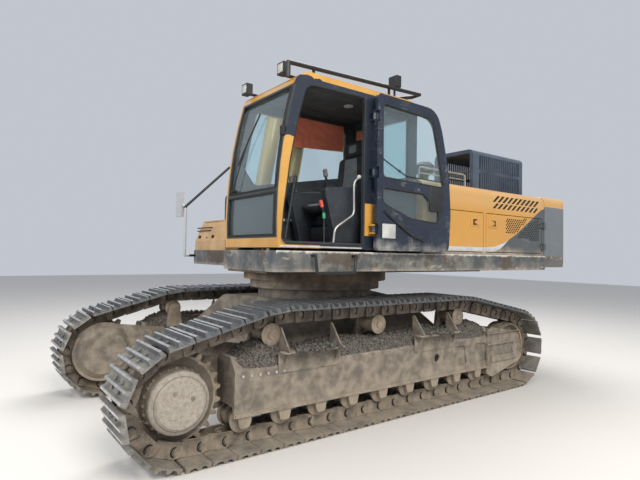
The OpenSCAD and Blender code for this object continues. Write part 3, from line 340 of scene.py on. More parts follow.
def makeSchemeGroup():
    # Yellow above a line that falls towards the cab, with a pale stripe under it, and greys below
    s = schemeSettings
    tree, take, give = newGroup("sidePanelScheme", {"Yellow": s["yellow"]}, {"Color": "Color"})
    x, y, z = placeParts(tree)
    start, length = s["line"][0][0], s["line"][-1][0] - s["line"][0][0]
    curve = addNode("ShaderNodeFloatCurve", {"Value": calc("DIVIDE", minus(x, start), length)})
    points = curve.mapping.curves[0].points
    while len(points) < len(s["line"]):
        points.new(0.5, 0.5)
    for point, (px, pz) in zip(points, s["line"]):
        point.location = ((px - start) / length, pz - s["lineBase"])
        point.handle_type = "VECTOR"
    curve.mapping.update()
    rise = minus(minus(z, s["lineBase"]), curve.outputs[0])
    stripe = times(between(x, *s["stripeEnd"]), s["stripe"])
    pale = times(below(rise, 0.0), above(plus(rise, stripe), 0.0))
    dark = mixColor(between(x, *s["slateFrom"]), s["darkGrey"], s["slate"])
    dark = mixColor(below(x, s["seam"]), dark, s["tailGrey"])
    bright = mixColor(times(between(z, *s["fade"]), 0.6), take["Yellow"], s["faded"])
    color = mixColor(above(rise, 0.0), dark, bright)
    feed(give, {"Color": mixColor(pale, color, s["pale"])})
    return tree


groups = {
    "dirt": makeDirtGroup(), "scratch": makeScratchGroup(), "grain": makeGrainGroup(), "scheme": makeSchemeGroup(),
}


# Colour schemes that depend on the place; each takes a paint's colour and gives the one that shows

def schemeColor(tree, color):
    tint = mixColor(0.5, color, (0.5, 0.5, 0.5))
    return mixColor(0.35, placeGroup(tree, "scheme", {})["Color"], tint, "OVERLAY")


def deckColor(tree, color):
    # Brown and tan patches, and a bright worn edge along the top of the deck
    x, y, z = placeParts(tree)
    place = objectPlace(tree)
    brown = between(noiseAt(place, 2.3, 8.0, 0.7), 0.47, 0.57)
    color = mixColor(times(brown, 0.85), color, (0.068, 0.048, 0.032))
    tan = between(noiseAt(place, 3.7, 9.0, 0.75, (0.6, 1, 1.6)), 0.56, 0.64)
    color = mixColor(times(tan, 0.8), color, (0.330, 0.290, 0.215))
    side = above(calc("ABSOLUTE", y), 1.470)
    edge = between(plus(z, times(noiseAt(place, 14.0, 6.0, 0.7), 0.08)), 1.690, 1.718)
    return mixColor(times(side, edge), color, (0.56, 0.54, 0.49))


def tailColor(tree, color):
    # The counterweight carries the side panels' colours, and the deck's wear along its lower edge
    x, y, z = placeParts(tree)
    return mixColor(below(z, 1.674), schemeColor(tree, color), deckColor(tree, (0.10, 0.10, 0.095)))


def driveColor(tree, color):
    # The covers of the final drives are rubbed pale, and the gap behind them is darkened as painted shade
    x, y, z = placeParts(tree)
    reach = distance(calc("ABSOLUTE", x), z, 2.235, 0.49)
    out = calc("ABSOLUTE", y)
    fine = noiseAt(objectPlace(tree), 30.0, 8.0, 0.8)
    pale = mixColor(between(fine, 0.35, 0.65), (0.275, 0.240, 0.200), (0.410, 0.370, 0.315))
    pale = mixColor(times(within(reach, 0.203, 0.211), 0.6), pale, (0.110, 0.090, 0.070))
    color = mixColor(times(above(out, 1.27), below(reach, 0.252)), color, pale)
    # painted shade: a dark ring in the gap behind the covers
    return mixColor(times(within(reach, 0.252, 0.33), above(out, 1.21), 0.7), color, (0.060, 0.048, 0.038))


def shoeColorWithPaintedShade(tree, color):
    # Painted shade and a painted bluish sky reflection: the upper run is darker and bluer than the lower one
    x, y, z = placeParts(tree)
    return mixColor(times(between(z, 0.80, 1.02), 0.8), color, (0.062, 0.070, 0.080))


def railColor(tree, color):
    # The mirror and its post at the front of the right side are pale grey
    x, y, z = placeParts(tree)
    post = times(below(z, 2.24), below(y, -1.0))
    return mixColor(times(above(x, 1.09), highest(post, below(y, -1.45))), color, (0.42, 0.43, 0.44))


cabSettings = {
    # the windscreen's arc, seen from the side
    "arcX": -3.045,
    "arcZ": 1.95,
    "arcR": 4.5,
    # yellow: the roof, the left front corner, the sill, the far side and a block at the door post
    "roofZ": 3.222,
    "pillar": (1.16, 2.72),
    "sill": (1.0, 1.80),
    "farY": 0.47,
    "blockX": (0.335, 0.470),
    "blockZ": (1.833, 2.146),
    # the cover over the upper half of the left front corner, and its broken edge
    "cover": (1.405, 2.660, 3.235),
    "coverEdge": 0.10,
    # black round the windscreen
    "screenY": (0.478, 1.430),
    "screenZ": (1.785, 3.158),
    # the inner walls
    "middleY": 0.95,
    "innerHalf": 0.488,
    "innerX": -0.215,
    "innerZ": (1.72, 3.23),
    "navy": (0.011, 0.017, 0.030),
    "black": (0.008, 0.009, 0.010),
    "lining": (0.040, 0.043, 0.049),
}


def cabColor(tree, color):
    s = cabSettings
    x, y, z = placeParts(tree)
    reach = distance(x, z, s["arcX"], s["arcZ"])
    pillar = times(above(x, s["pillar"][0]), below(z, s["pillar"][1]))
    sill = times(above(x, s["sill"][0]), below(z, s["sill"][1]))
    yellow = highest(above(z, s["roofZ"]), above(reach, s["arcR"] - 0.012), pillar, sill, below(y, s["farY"]))
    jag = times(minus(noiseAt(objectPlace(tree), 9.0, 4.0), 0.5), s["coverEdge"])
    cover = times(within(plus(z, jag), *s["cover"][1:]), above(x, 1.0), above(y, s["cover"][0]))
    block = times(within(x, *s["blockX"]), within(z, *s["blockZ"]), above(y, 1.43))
    yellow = highest(times(yellow, minus(1.0, cover)), block)
    screen = times(within(y, *s["screenY"]), within(z, *s["screenZ"]), above(x, 1.15))
    inside = times(below(calc("ABSOLUTE", minus(y, s["middleY"])), s["innerHalf"]), below(reach, s["arcR"] - 0.03),
                   above(x, s["innerX"]), within(z, *s["innerZ"]))
    outer = mixColor(screen, mixColor(yellow, s["navy"], color), s["black"])
    return mixColor(inside, outer, s["lining"])


# Finishes

mud = (0.235, 0.170, 0.110)
dust = (0.335, 0.280, 0.215)
greyDust = (0.17, 0.18, 0.19)
paleDust = (0.30, 0.285, 0.26)

finishes = {
    # slot in the record, darker and lighter colour of its patches, roughness, and what isn't plain:
    # dirt is its colour, amount, scale, the two heights between which it ends, and how much lies on top;
    # scratch is scale, amount and colour; grain is scale, strength and dents
    "paintYellow": ("paint_yellow", (0.45, 0.230, 0.038), (0.54, 0.290, 0.056), 0.36, {
        "coat": 0.35, "dirt": (dust, 0.02, 3.0, 1.6, 2.1, 0.16), "scratch": (5.0, 0.35, (0.45, 0.33, 0.20))}),
    "sidePanels": ("paint_yellow", (0.42, 0.42, 0.42), (0.56, 0.56, 0.56), 0.36, {
        "coat": 0.35, "dirt": (dust, -0.02, 3.2, 1.62, 1.98, 0.10), "scratch": (5.0, 0.3, (0.55, 0.45, 0.33)),
        "makeColor": schemeColor}),
    "paintNavy": ("paint_navy", (0.006, 0.011, 0.023), (0.012, 0.020, 0.038), 0.28, {
        "coat": 0.3, "dirt": (paleDust, -0.12, 5.5, 1.70, 1.98, 0.10), "scratch": (6.0, 0.7, (0.26, 0.27, 0.28))}),
    "tailPaint": ("paint_yellow", (0.42, 0.42, 0.42), (0.56, 0.56, 0.56), 0.42, {
        "coat": 0.25, "dirt": (dust, -0.05, 2.4, -1.0, 0.0, 0.06), "scratch": (4.0, 0.5, (0.33, 0.33, 0.32)),
        "makeColor": tailColor}),
    "cabPaint": ("paint_yellow", (0.47, 0.240, 0.042), (0.56, 0.305, 0.072), 0.34, {
        "coat": 0.4, "dirt": (dust, -0.10, 3.5, 1.6, 1.9, 0.10), "scratch": (6.0, 0.3, (0.30, 0.26, 0.20)),
        "makeColor": cabColor}),
    "paintFaded": ("paint_yellow", (0.44, 0.265, 0.115), (0.55, 0.345, 0.165), 0.5, {
        "coat": 0.15, "dirt": (dust, -0.06, 3.0, 1.6, 2.0, 0.10), "scratch": (7.0, 0.7, (0.20, 0.16, 0.12))}),
    "paintDusty": ("paint_dusty", (0.140, 0.120, 0.098), (0.270, 0.230, 0.182), 0.86, {
        "patch": 9.0, "dirt": (dust, 0.03, 5.0, 0.1, 0.8, 0.4), "scratch": (7.0, 0.6, (0.20, 0.165, 0.13)),
        "grain": (45.0, 0.5, 0.4)}),
    "castSteel": ("cast_steel", (0.165, 0.133, 0.100), (0.320, 0.260, 0.195), 0.8, {
        "patch": 6.0, "metallic": 0.1, "dirt": (dust, 0.1, 7.0, 0.1, 0.9, 0.3), "grain": (80.0, 0.45, 0.2)}),
    "driveSteel": ("cast_steel", (0.165, 0.133, 0.100), (0.320, 0.260, 0.195), 0.7, {
        "patch": 6.0, "metallic": 0.15, "scratch": (14.0, 0.9, (0.55, 0.51, 0.45)), "grain": (80.0, 0.45, 0.2),
        "makeColor": driveColor}),
    "deckPaint": ("deck_paint", (0.060, 0.066, 0.070), (0.175, 0.170, 0.155), 0.6, {
        "patch": 4.5, "dirt": (dust, -0.05, 4.2, 1.48, 1.60, 0.25), "scratch": (9.0, 0.3, (0.36, 0.35, 0.32)),
        "grain": (40.0, 0.4, 0.9), "makeColor": deckColor}),
    "frameDark": ("frame_dark", (0.060, 0.052, 0.044), (0.125, 0.100, 0.075), 0.82, {
        "patch": 4.0, "dirt": (mud, 0.08, 4.0, 1.2, 1.7, 0.3), "grain": (50.0, 0.4, 0.3)}),
    # the track's shoes, with painted shade on their upper run
    "trackSteel": ("track_steel", (0.135, 0.130, 0.120), (0.270, 0.255, 0.225), 0.55, {
        "patch": 7.0, "metallic": 0.35, "dirt": (dust, -0.02, 9.0, 0.0, 0.35, 0.0),
        "scratch": (12.0, 0.8, (0.42, 0.41, 0.39)), "grain": (90.0, 0.4, 0.2), "makeColor": shoeColorWithPaintedShade}),
    "tipSteel": ("track_steel", (0.40, 0.40, 0.40), (0.62, 0.61, 0.59), 0.34, {
        "patch": 14.0, "metallic": 0.8, "dirt": (dust, -0.12, 12.0, 0.0, 0.1, 0.0)}),
    "linkSteel": ("track_steel", (0.085, 0.070, 0.056), (0.215, 0.178, 0.138), 0.72, {
        "patch": 8.0, "metallic": 0.15, "dirt": (dust, 0.0, 9.0, 0.0, 0.4, 0.2), "grain": (90.0, 0.5, 0.2)}),
    "gravel": ("paint_dusty", (0.030, 0.029, 0.028), (0.170, 0.152, 0.128), 0.93, {
        "patch": 55.0, "dirt": (dust, 0.10, 9.0, 0.2, 0.62, 0.0), "grain": (180.0, 0.9, 0.0)}),
    "charcoal": ("charcoal", (0.036, 0.052, 0.078), (0.062, 0.084, 0.120), 0.45, {
        "patch": 3.0, "dirt": (greyDust, -0.18, 4.0, 0.0, 0.1, 0.1), "scratch": (5.0, 0.3, (0.2, 0.2, 0.2))}),
    "blackSteel": ("black_steel", (0.006, 0.006, 0.007), (0.015, 0.015, 0.016), 0.40, {
        "patch": 9.0, "dirt": (dust, -0.18, 9.0, 1.0, 1.7, 0.0), "makeColor": railColor}),
    "bareSteel": ("track_steel", (0.30, 0.30, 0.29), (0.46, 0.45, 0.43), 0.38, {
        "patch": 8.0, "metallic": 0.85, "scratch": (14.0, 0.5, (0.7, 0.7, 0.68))}),
    "chromeRod": ("chrome_rod", (0.62, 0.62, 0.63), (0.72, 0.72, 0.73), 0.16, {"patch": 5.0, "metallic": 1.0}),
    "rubber": ("rubber", (0.005, 0.005, 0.005), (0.012, 0.012, 0.012), 0.70, {
        "patch": 8.0, "grain": (160.0, 0.3, 0.0)}),
    "blackPlastic": ("black_plastic", (0.006, 0.007, 0.008), (0.015, 0.016, 0.018), 0.50, {
        "patch": 6.0, "grain": (260.0, 0.35, 0.0)}),
    "consolePlastic": ("console_plastic", (0.012, 0.015, 0.020), (0.026, 0.031, 0.040), 0.5, {
        "patch": 4.0, "scratch": (9.0, 0.4, (0.2, 0.21, 0.22)), "grain": (240.0, 0.3, 0.0)}),
    "headliner": ("black_plastic", (0.040, 0.040, 0.043), (0.060, 0.060, 0.062), 0.95, {
        "patch": 5.0, "grain": (220.0, 0.35, 0.0)}),
    "padGrey": ("seat_cloth", (0.150, 0.155, 0.165), (0.215, 0.220, 0.230), 0.9, {
        "patch": 8.0, "grain": (380.0, 0.6, 0.0)}),
    "padBlack": ("seat_cloth", (0.012, 0.012, 0.014), (0.028, 0.028, 0.031), 0.85, {
        "patch": 8.0, "grain": (380.0, 0.6, 0.0)}),
    "palePlastic": ("black_plastic", (0.36, 0.36, 0.35), (0.52, 0.52, 0.50), 0.5, {
        "patch": 9.0, "scratch": (12.0, 0.6, (0.25, 0.24, 0.22))}),
    "gripGrey": ("black_plastic", (0.060, 0.062, 0.065), (0.110, 0.112, 0.115), 0.5, {"patch": 9.0}),
    "redPlastic": ("black_plastic", (0.55, 0.05, 0.03), (0.68, 0.08, 0.04), 0.45, {"patch": 9.0}),
    "greenPlastic": ("black_plastic", (0.03, 0.30, 0.14), (0.04, 0.38, 0.18), 0.5, {"patch": 9.0}),
    "rustyPocket": ("black_steel", (0.060, 0.018, 0.010), (0.120, 0.040, 0.020), 0.8, {"patch": 9.0}),
    # dark plates and discs of painted shade where slots, holes and grooves are
    "slotBlack": ("black_steel", (0.003, 0.003, 0.003), (0.007, 0.007, 0.007), 0.8, {"patch": 9.0}),
}


def newMaterial(name):
    material = bpy.data.materials.new(name)
    material.use_nodes = True
    return material, material.node_tree, material.node_tree.nodes["Principled BSDF"]


def weathered(name, dark, light, roughness, patch=2.5, metallic=0.0, coat=0.0, dirt=None, scratch=None,
              grain=(70.0, 0.12, 0.0), makeColor=None):
    material, tree, shader = newMaterial(name)
    place = objectPlace(tree)
    color = mixColor(between(noiseAt(place, patch, 7.0, 0.62), 0.36, 0.66), dark, light)
    if makeColor:
        color = makeColor(tree, color)
    rough = calc("MULTIPLY_ADD", noiseAt(place, patch * 9, 4.0), 0.22, roughness - 0.11, clamp=True)
    if scratch:
        mask = placeGroup(tree, "scratch", {"Scale": scratch[0], "Amount": scratch[1]})["Mask"]
        color = mixColor(mask, color, scratch[2])
        rough = highest(rough, times(mask, 0.6))
    if dirt:
        dirty = placeGroup(tree, "dirt", {"Paint": color, **dict(zip(dirtLabels, dirt))})
        color = dirty["Color"]
        rough = addNode("ShaderNodeMix", {0: dirty["Mask"], 2: rough, 3: 0.92}).outputs[0]
        if coat:
            clean = calc("MULTIPLY_ADD", dirty["Mask"], -coat, coat)
            feed(shader.inputs, {"Coat Weight": clean, "Coat Roughness": 0.22})
    bump = placeGroup(tree, "grain", dict(zip(("Scale", "Strength", "Dents"), grain)))["Normal"]
    feed(shader.inputs, {"Base Color": color, "Roughness": rough, "Metallic": metallic, "Normal": bump})
    return material


def makeGlass():
    # Tinted glass with faint smears
    material, tree, shader = newMaterial("glass")
    smear = noiseAt(objectPlace(tree), 3.0, 5.0, 0.6, (1, 1, 0.35))
    feed(shader.inputs, {"Base Color": mixColor(smear, (0.70, 0.90, 0.94), (0.84, 0.95, 0.97)),
                         "Roughness": between(smear, 0.45, 0.8, 0.01, 0.10), "Transmission Weight": 0.96, "IOR": 1.45})
    return material


def makeLampGlass():
    # Ribbed lamp glass
    material, tree, shader = newMaterial("lampGlass")
    ribs = waveAt(objectPlace(tree), 22.0, 0.0, "Y")
    feed(shader.inputs, {"Base Color": mixColor(ribs, (0.30, 0.30, 0.28), (0.62, 0.61, 0.56)),
                         "Normal": bumpOf(ribs, 0.4, 0.004), "Roughness": 0.12, "Metallic": 0.1})
    return material


def makeCurtainCloth():
    # Red cloth with an even weave
    material, tree, shader = newMaterial("curtainCloth")
    place = objectPlace(tree)
    weave = plus(waveAt(place, 190.0, 0.6, "Z"), waveAt(place, 170.0, 0.6, "X"))
    feed(shader.inputs, {"Base Color": mixColor(noiseAt(place, 6.0, 6.0), (0.62, 0.120, 0.062), (0.86, 0.235, 0.135)),
                         "Normal": bumpOf(weave, 0.25, 0.001), "Roughness": 0.9, "Sheen Weight": 0.3})
    return material


materials = {name: weathered(name, *look, **extra) for name, (slot, *look, extra) in finishes.items()}
materials.update(glass=makeGlass(), lampGlass=makeLampGlass(), curtainCloth=makeCurtainCloth())
slots = {name: values[0] for name, values in finishes.items()}
slots.update(glass="glass", lampGlass="lamp_body", curtainCloth="curtain_cloth")
print("materials made:", len(materials))


# Short forms for meshes; every place is in metres from the swing axis

def asMesh(bm, name):
    mesh = bpy.data.meshes.new(name)
    bm.to_mesh(mesh)
    bm.free()
    return mesh


def addPiece(name, bm, body, finish, smooth=35, standsFor=(), recalc=True):
    # Writes the bmesh as a piece that rides on a body; a list of finishes is in order of material index
    if recalc:
        bmesh.ops.recalc_face_normals(bm, faces=bm.faces)
    bmesh.ops.translate(bm, verts=bm.verts, vec=shift)
    mesh = asMesh(bm, name)
    names = [finish] if isinstance(finish, str) else finish
    for each in names:
        mesh.materials.append(materials[each])
    mesh.shade_smooth()
    mesh.set_sharp_from_angle(angle=math.radians(smooth))
    piece = placeObject(name, mesh)
    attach(piece, body)
    if standsFor:
        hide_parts(*standsFor)
    return piece


def setIndex(verts, mat):
    for face in {f for v in verts for f in v.link_faces}:
        face.material_index = mat


def addBox(bm, low, high, bevel=0.0, mat=0, turn=None):
    made = bmesh.ops.create_cube(bm, size=1.0)["verts"]
    bmesh.ops.scale(bm, verts=made, vec=[h - l for l, h in zip(low, high)])
    if turn:
        bmesh.ops.rotate(bm, verts=made, cent=(0, 0, 0), matrix=turn)
    bmesh.ops.translate(bm, verts=made, vec=Vector([(l + h) / 2 for l, h in zip(low, high)]))
    setIndex(made, mat)
    if bevel:
        edges = list({e for v in made for e in v.link_edges})
        bmesh.ops.bevel(bm, geom=edges, offset=bevel, segments=2, profile=0.5, affect="EDGES", material=-1)


def addRod(bm, start, end, radius, sides=12, mat=0, endRadius=None):
    line = Vector(end) - Vector(start)
    turn = line.to_track_quat("Z", "Y").to_matrix().to_4x4()
    middle = Matrix.Translation((Vector(start) + Vector(end)) / 2)
    setIndex(bmesh.ops.create_cone(bm, cap_ends=True, segments=sides, radius1=radius,
                                   radius2=radius if endRadius is None else endRadius, depth=line.length,
                                   matrix=middle @ turn)["verts"], mat)


def addStud(bm, x, z, fromY, toY, radius, sides=6, mat=0, endRadius=None):
    # A short rod across the machine
    addRod(bm, (x, fromY, z), (x, toY, z), radius, sides, mat, endRadius)


def addSideBox(bm, side, x, y, z):
    # A box between two places along each axis, on the left or mirrored to the right
    near, far = sorted((side * y[0], side * y[1]))
    addBox(bm, (x[0], near, z[0]), (x[1], far, z[1]), 0.003)


def addBall(bm, place, radius, sides=12, mat=0):
    setIndex(bmesh.ops.create_uvsphere(bm, u_segments=sides, v_segments=sides // 2, radius=radius,
                                       matrix=Matrix.Translation(place))["verts"], mat)


def addPlate(bm, outline, axis, low, high):
    # An outline of two coordinates, extruded along the axis from low to high
    spots = {"x": lambda p: (low, p[0], p[1]), "y": lambda p: (p[0], low, p[1])}
    face = bm.faces.new([bm.verts.new(spots[axis](p)) for p in outline])
    made = bmesh.ops.extrude_face_region(bm, geom=[face])["geom"]
    step = Vector((axis == "x", axis == "y", 0)) * (high - low)
    bmesh.ops.translate(bm, verts=[g for g in made if isinstance(g, bmesh.types.BMVert)], vec=step)


def roundedLine(points, radius, steps=5, closed=False):
    # The points of a polyline with its corners rounded by quadratic curves
    count = len(points)
    result = []
    for i, spot in enumerate(points):
        here = Vector(spot)
        if not closed and i in (0, count - 1):
            result.append(here)
            continue
        before, after = Vector(points[i - 1]) - here, Vector(points[(i + 1) % count]) - here
        start = here + before.normalized() * min(radius, before.length * 0.45)
        end = here + after.normalized() * min(radius, after.length * 0.45)
        for k in range(steps + 1):
            t = k / steps
            result.append(start * (1 - t) ** 2 + here * 2 * t * (1 - t) + end * t ** 2)
    return result


def addTube(bm, points, radius, sides=8, closed=False, mat=0):
    # A round tube along a line: a circle is made at each point, square to the line, and the circles are joined
    rings = []
    spots = [Vector(p) for p in points]
    count = len(spots)
    across = None
    for i, spot in enumerate(spots):
        before = spots[i - 1] if (closed or i > 0) else spot
        after = spots[(i + 1) % count] if (closed or i < count - 1) else spot
        along = (after - before).normalized()
        if across is None:
            across = along.orthogonal().normalized()
        across = (across - along * across.dot(along)).normalized()
        turn = Matrix((across, along.cross(across), along)).transposed().to_4x4()
        rings.append(bmesh.ops.create_circle(bm, segments=sides, radius=radius,
                                             matrix=Matrix.Translation(spot) @ turn)["verts"])
    for a, b in list(zip(rings, rings[1:])) + ([(rings[-1], rings[0])] if closed else []):
        for k in range(sides):
            face = bm.faces.new((a[k], a[(k + 1) % sides], b[(k + 1) % sides], b[k]))
            face.material_index = mat
    if not closed:
        for ring in (rings[0], rings[-1]):
            bm.faces.new(ring).material_index = mat


def stamp(bm, mesh, places):
    # Adds a copy of a small mesh at each place
    for place in places:
        copy = mesh.copy()
        copy.transform(place)
        bm.from_mesh(copy)
        bpy.data.meshes.remove(copy)


dressSettings = {
    "merge": 0.00002,
    "flat": 1.0,  # faces within this angle, in degrees, are one face
    "sharp": 28,  # edges over this angle are rounded
    "shadeAngle": 40,
    "weight": 60,
}


def camelName(node):
    first, *others = node.split("_")
    return first + "".join(word.title() for word in others)


def dress(node, finish, width, segments=2, pieceName=None, topEdge=0.0):
    # A piece in place of a rigid node: its own form, with every sharp edge rounded, and those at the top by topEdge
    s = dressSettings
    source = nodes[node]
    bm = bmesh.new()
    bm.from_mesh(source.data)
    bmesh.ops.remove_doubles(bm, verts=bm.verts, dist=s["merge"])
    bmesh.ops.dissolve_limit(bm, angle_limit=math.radians(s["flat"]), verts=bm.verts, edges=bm.edges,
                             delimit={"NORMAL"})
    if topEdge:
        top = max(v.co.z for v in bm.verts)
        edges = [e for e in bm.edges if all(v.co.z > top - 0.01 for v in e.verts) and len(e.link_faces) == 2
                 and min(f.normal.z for f in e.link_faces) < 0.2 and max(f.normal.z for f in e.link_faces) > 0.9]
        bmesh.ops.bevel(bm, geom=edges, offset=topEdge, segments=5, profile=0.5, affect="EDGES",
                        clamp_overlap=False, material=-1)
    edges = [e for e in bm.edges if len(e.link_faces) == 2 and e.calc_face_angle(0) > math.radians(s["sharp"])]
    if width:
        bmesh.ops.bevel(bm, geom=edges, offset=width, segments=segments, profile=0.5, affect="EDGES",
                        clamp_overlap=True, material=-1)
    bmesh.ops.translate(bm, verts=bm.verts, vec=-shift)
    name = pieceName or camelName(node)
    piece = addPiece(name, bm, source["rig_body"], finish, s["shadeAngle"], (node,), recalc=False)
    if finish != "glass":
        modifier = piece.modifiers.new("weights", "WEIGHTED_NORMAL")
        modifier.keep_sharp = True
        modifier.weight = s["weight"]


# Tracks: the same path as the part's, with jointed links and triple-grouser shoes

trackSettings = {
    "pitch": 0.216,
    "pinLine": 0.384,
    "axle": 0.490,
    "halfBase": 2.235,
    # carrier rollers: x, height and radius of the pins' path over them; the middle one carries no bend
    "carriers": [(1.41, 0.94, 0.154), (-1.15, 0.94, 0.154)],
    "middleCarrier": (0.13, 0.94, 0.154),
    "gauge": 2.38,
    "shoeWidth": 0.6,
    "linkIn": 0.069,
    "linkOut": 0.060,
    "linkSides": (0.061, 0.085),
    "linkStep": 0.025,
    "plate": 0.014,
    "grouser": 0.032,
    "chamfer": 0.018,
    "shoeBolts": [(0.31, -0.088), (0.31, 0.088), (0.635, -0.088), (0.635, 0.088)],
}


def trackPins():
    s = trackSettings
    wheels = [(s["halfBase"], s["axle"], s["pinLine"]), *s["carriers"], (-s["halfBase"], s["axle"], s["pinLine"])]
    legs = []
    for i, (ax, az, ar) in enumerate(wheels):
        bx, bz, br = wheels[(i + 1) % len(wheels)]
        span = math.hypot(bx - ax, bz - az)
        angle = math.atan2(bz - az, bx - ax) - math.acos((ar - br) / span)
        legs.append((angle, math.sqrt(span ** 2 - (ar - br) ** 2)))
    pieces = []
    for i, (x, z, r) in enumerate(wheels):
        start, end = legs[i - 1][0], legs[i][0]
        turn = (end - start) % (2 * math.pi)
        pieces.append(("arc", r * turn, (x, z, r, start)))
        pieces.append(("line", legs[i][1], (x, z, r, end)))
    total = sum(p[1] for p in pieces)
    count = round(total / s["pitch"])
    pins = []
    for k in range(count):
        far = k * total / count
        for kind, length, (x, z, r, angle) in pieces:
            if far > length:
                far -= length
                continue
            if kind == "arc":
                angle += far / r
                far = 0.0
            tip = Vector((x + r * math.cos(angle), 0, z + r * math.sin(angle)))
            pins.append(tip + far * Vector((-math.sin(angle), 0, math.cos(angle))))
            break
    return pins


def shoeMesh(pitch):
    # One shoe, its length along X, its outside towards +Z, with four bolt heads and chamfered grouser ends
    s = trackSettings
    half = s["shoeWidth"] / 2
    low, top = s["linkOut"], s["linkOut"] + s["plate"]
    tip = top + s["grouser"]
    profile = [(0.01, low), (0.01, top + 0.012), (0.03, tip - 0.003), (0.13, tip), (0.19, top + 0.006), (0.27, top),
               (0.36, top), (0.42, tip), (0.52, tip), (0.58, top), (0.69, top), (0.80, top + 0.005), (0.87, tip),
               (0.965, tip - 0.003), (0.985, low + 0.006), (0.97, low)]
    bm = bmesh.new()
    addPlate(bm, [(x * pitch, z) for x, z in profile], "y", -half, half)
    for vert in bm.verts:
        if vert.co.z > top + 0.02:
            vert.co.y -= math.copysign(s["chamfer"], vert.co.y)
    for face in bm.faces:
        if all(v.co.z > top + 0.02 for v in face.verts):
            face.material_index = 1
    for x, y in s["shoeBolts"]:
        addRod(bm, (x * pitch, y, top - 0.001), (x * pitch, y, top + 0.017), 0.017, 6)
    bmesh.ops.recalc_face_normals(bm, faces=bm.faces)
    return asMesh(bm, "shoe")


def linkMesh(pitch):
    # A pair of links with their pin and bushing; each link steps inwards between its two bosses, and a dark arc of
    # painted shade marks a groove round each pin end
    s = trackSettings
    bm = bmesh.new()
    low, high = -s["linkIn"], s["linkOut"] - 0.003
    outline = [(-0.050, low), (0.34 * pitch, low), (0.60 * pitch, low), (pitch - 0.058, low), (pitch - 0.044, -0.050),
               (pitch - 0.010, -0.050), (pitch + 0.030, -0.040), (pitch + 0.048, -0.010), (pitch + 0.048, 0.016),
               (pitch + 0.028, 0.042), (pitch - 0.004, high), (0.60 * pitch, high), (0.34 * pitch, high), (0.012, high),
               (-0.030, 0.043), (-0.050, 0.012)]
    for side in (-1, 1):
        addPlate(bm, outline, "y", *(side * y for y in s["linkSides"]))
    for vert in bm.verts:
        if vert.co.x < 0.4 * pitch:
            vert.co.y += math.copysign(s["linkStep"], vert.co.y)
    # a dark tube of painted shade along the groove round the pin's end
    grooveShade = [math.radians(30 * k - 75) for k in range(6)]
    for side in (-1, 1):
        addStud(bm, 0, 0, side * 0.10, side * 0.1145, 0.027, 10)
        bolt = (0.31 * pitch, side * 0.088)
        addRod(bm, (*bolt, high - 0.002), (*bolt, high - 0.03), 0.015, 6)
        addTube(bm, [(0.042 * math.cos(a), side * 0.1095, 0.042 * math.sin(a)) for a in grooveShade], 0.0055, 5, mat=1)
    addStud(bm, pitch, 0, -0.062, 0.062, 0.034, 12)
    bmesh.ops.recalc_face_normals(bm, faces=bm.faces)
    return asMesh(bm, "link")


def makeTracks():
    pins = trackPins()
    pitch = (pins[1] - pins[0]).length
    kinds = [(shoeMesh(pitch), "trackShoes", ("trackSteel", "tipSteel")),
             (linkMesh(pitch), "trackLinks", ("linkSteel", "slotBlack"))]
    for side, name in bothSides:
        middle = Vector((0, side * trackSettings["gauge"] / 2, 0))
        places = []
        for i, pin in enumerate(pins):
            along = (pins[(i + 1) % len(pins)] - pin).normalized()
            out = Vector((along.z, 0, -along.x))
            turn = Matrix((along, out.cross(along), out)).transposed().to_4x4()
            places.append(Matrix.Translation(pin + middle) @ turn)
        for mesh, label, finish in kinds:
            bm = bmesh.new()
            stamp(bm, mesh, places)
            addPiece(label + name, bm, "undercarriage", finish, 30, ("track_" + name.lower(),), recalc=False)


makeTracks()
print("tracks made")


# Undercarriage

undercarriageFinishes = {
    # node: finish, width of its rounded edges, their segments, and the piece's name where it isn't the node's
    "car_body": ("paintDusty", 0.008),
    "track_frame_left": ("paintDusty", 0.005),
    "track_frame_right": ("paintDusty", 0.005),
    "side_steps": ("paintDusty", 0.002, 1),
    "swing_ring": ("castSteel", 0.004),
    "sprockets": ("driveSteel", 0.005, 2, "sprocketWheels"),
    "idlers": ("castSteel", 0.004, 1, "idlerWheels"),
    "track_rollers": ("castSteel", 0.003, 1),
    "carrier_rollers": ("castSteel", 0.003, 1),
}
for node, look in undercarriageFinishes.items():
    dress(node, *look)

driveSettings = {
    "face": 0.195,
    "ringRadius": 0.252,
    "ringBolts": 24,
    "bolt": (0.055, 0.078, 0.012),  # from, to, radius
    "plugs": [(0.05, 0.09), (-0.09, 0.035)],
    "plug": 0.016,
    "capFace": 0.131,
    "cap": (0.044, 0.040),
    "capBolts": 4,
    "capBolt": (0.028, 0.006),  # distance from the middle, radius
}


def ringSpots(x, z, radius, count, start=0.0):
    angles = [start + 2 * math.pi * k / count for k in range(count)]
    return [(x + radius * math.cos(a), z + radius * math.sin(a)) for a in angles]


def makeDriveDetails():
    # Bolt ring and plugs of the two final drives, and caps on the carrier rollers
    s, t = driveSettings, trackSettings
    for side, name in bothSides:
        bm = bmesh.new()
        middle = side * t["gauge"] / 2
        face = middle + side * s["face"]
        near, far, radius = s["bolt"]
        for x, z in ringSpots(t["halfBase"], t["axle"], s["ringRadius"], s["ringBolts"]):
            addStud(bm, x, z, middle + side * near, middle + side * far, radius)
        for x, z in s["plugs"]:
            addStud(bm, t["halfBase"] + x, t["axle"] + z, face - side * 0.004, face + side * 0.010, s["plug"])
        cap = middle + side * s["capFace"]
        for x, z, r in [*t["carriers"], t["middleCarrier"]]:
            addStud(bm, x, z, cap - side * 0.002, cap + side * 0.012, s["cap"][0], 20, endRadius=s["cap"][1])
            for boltX, boltZ in ringSpots(x, z, s["capBolt"][0], s["capBolts"], math.pi / 4):
                addStud(bm, boltX, boltZ, cap + side * 0.011, cap + side * 0.017, s["capBolt"][1])
        addPiece("driveBolts" + name, bm, "undercarriage", "castSteel", 35)


makeDriveDetails()

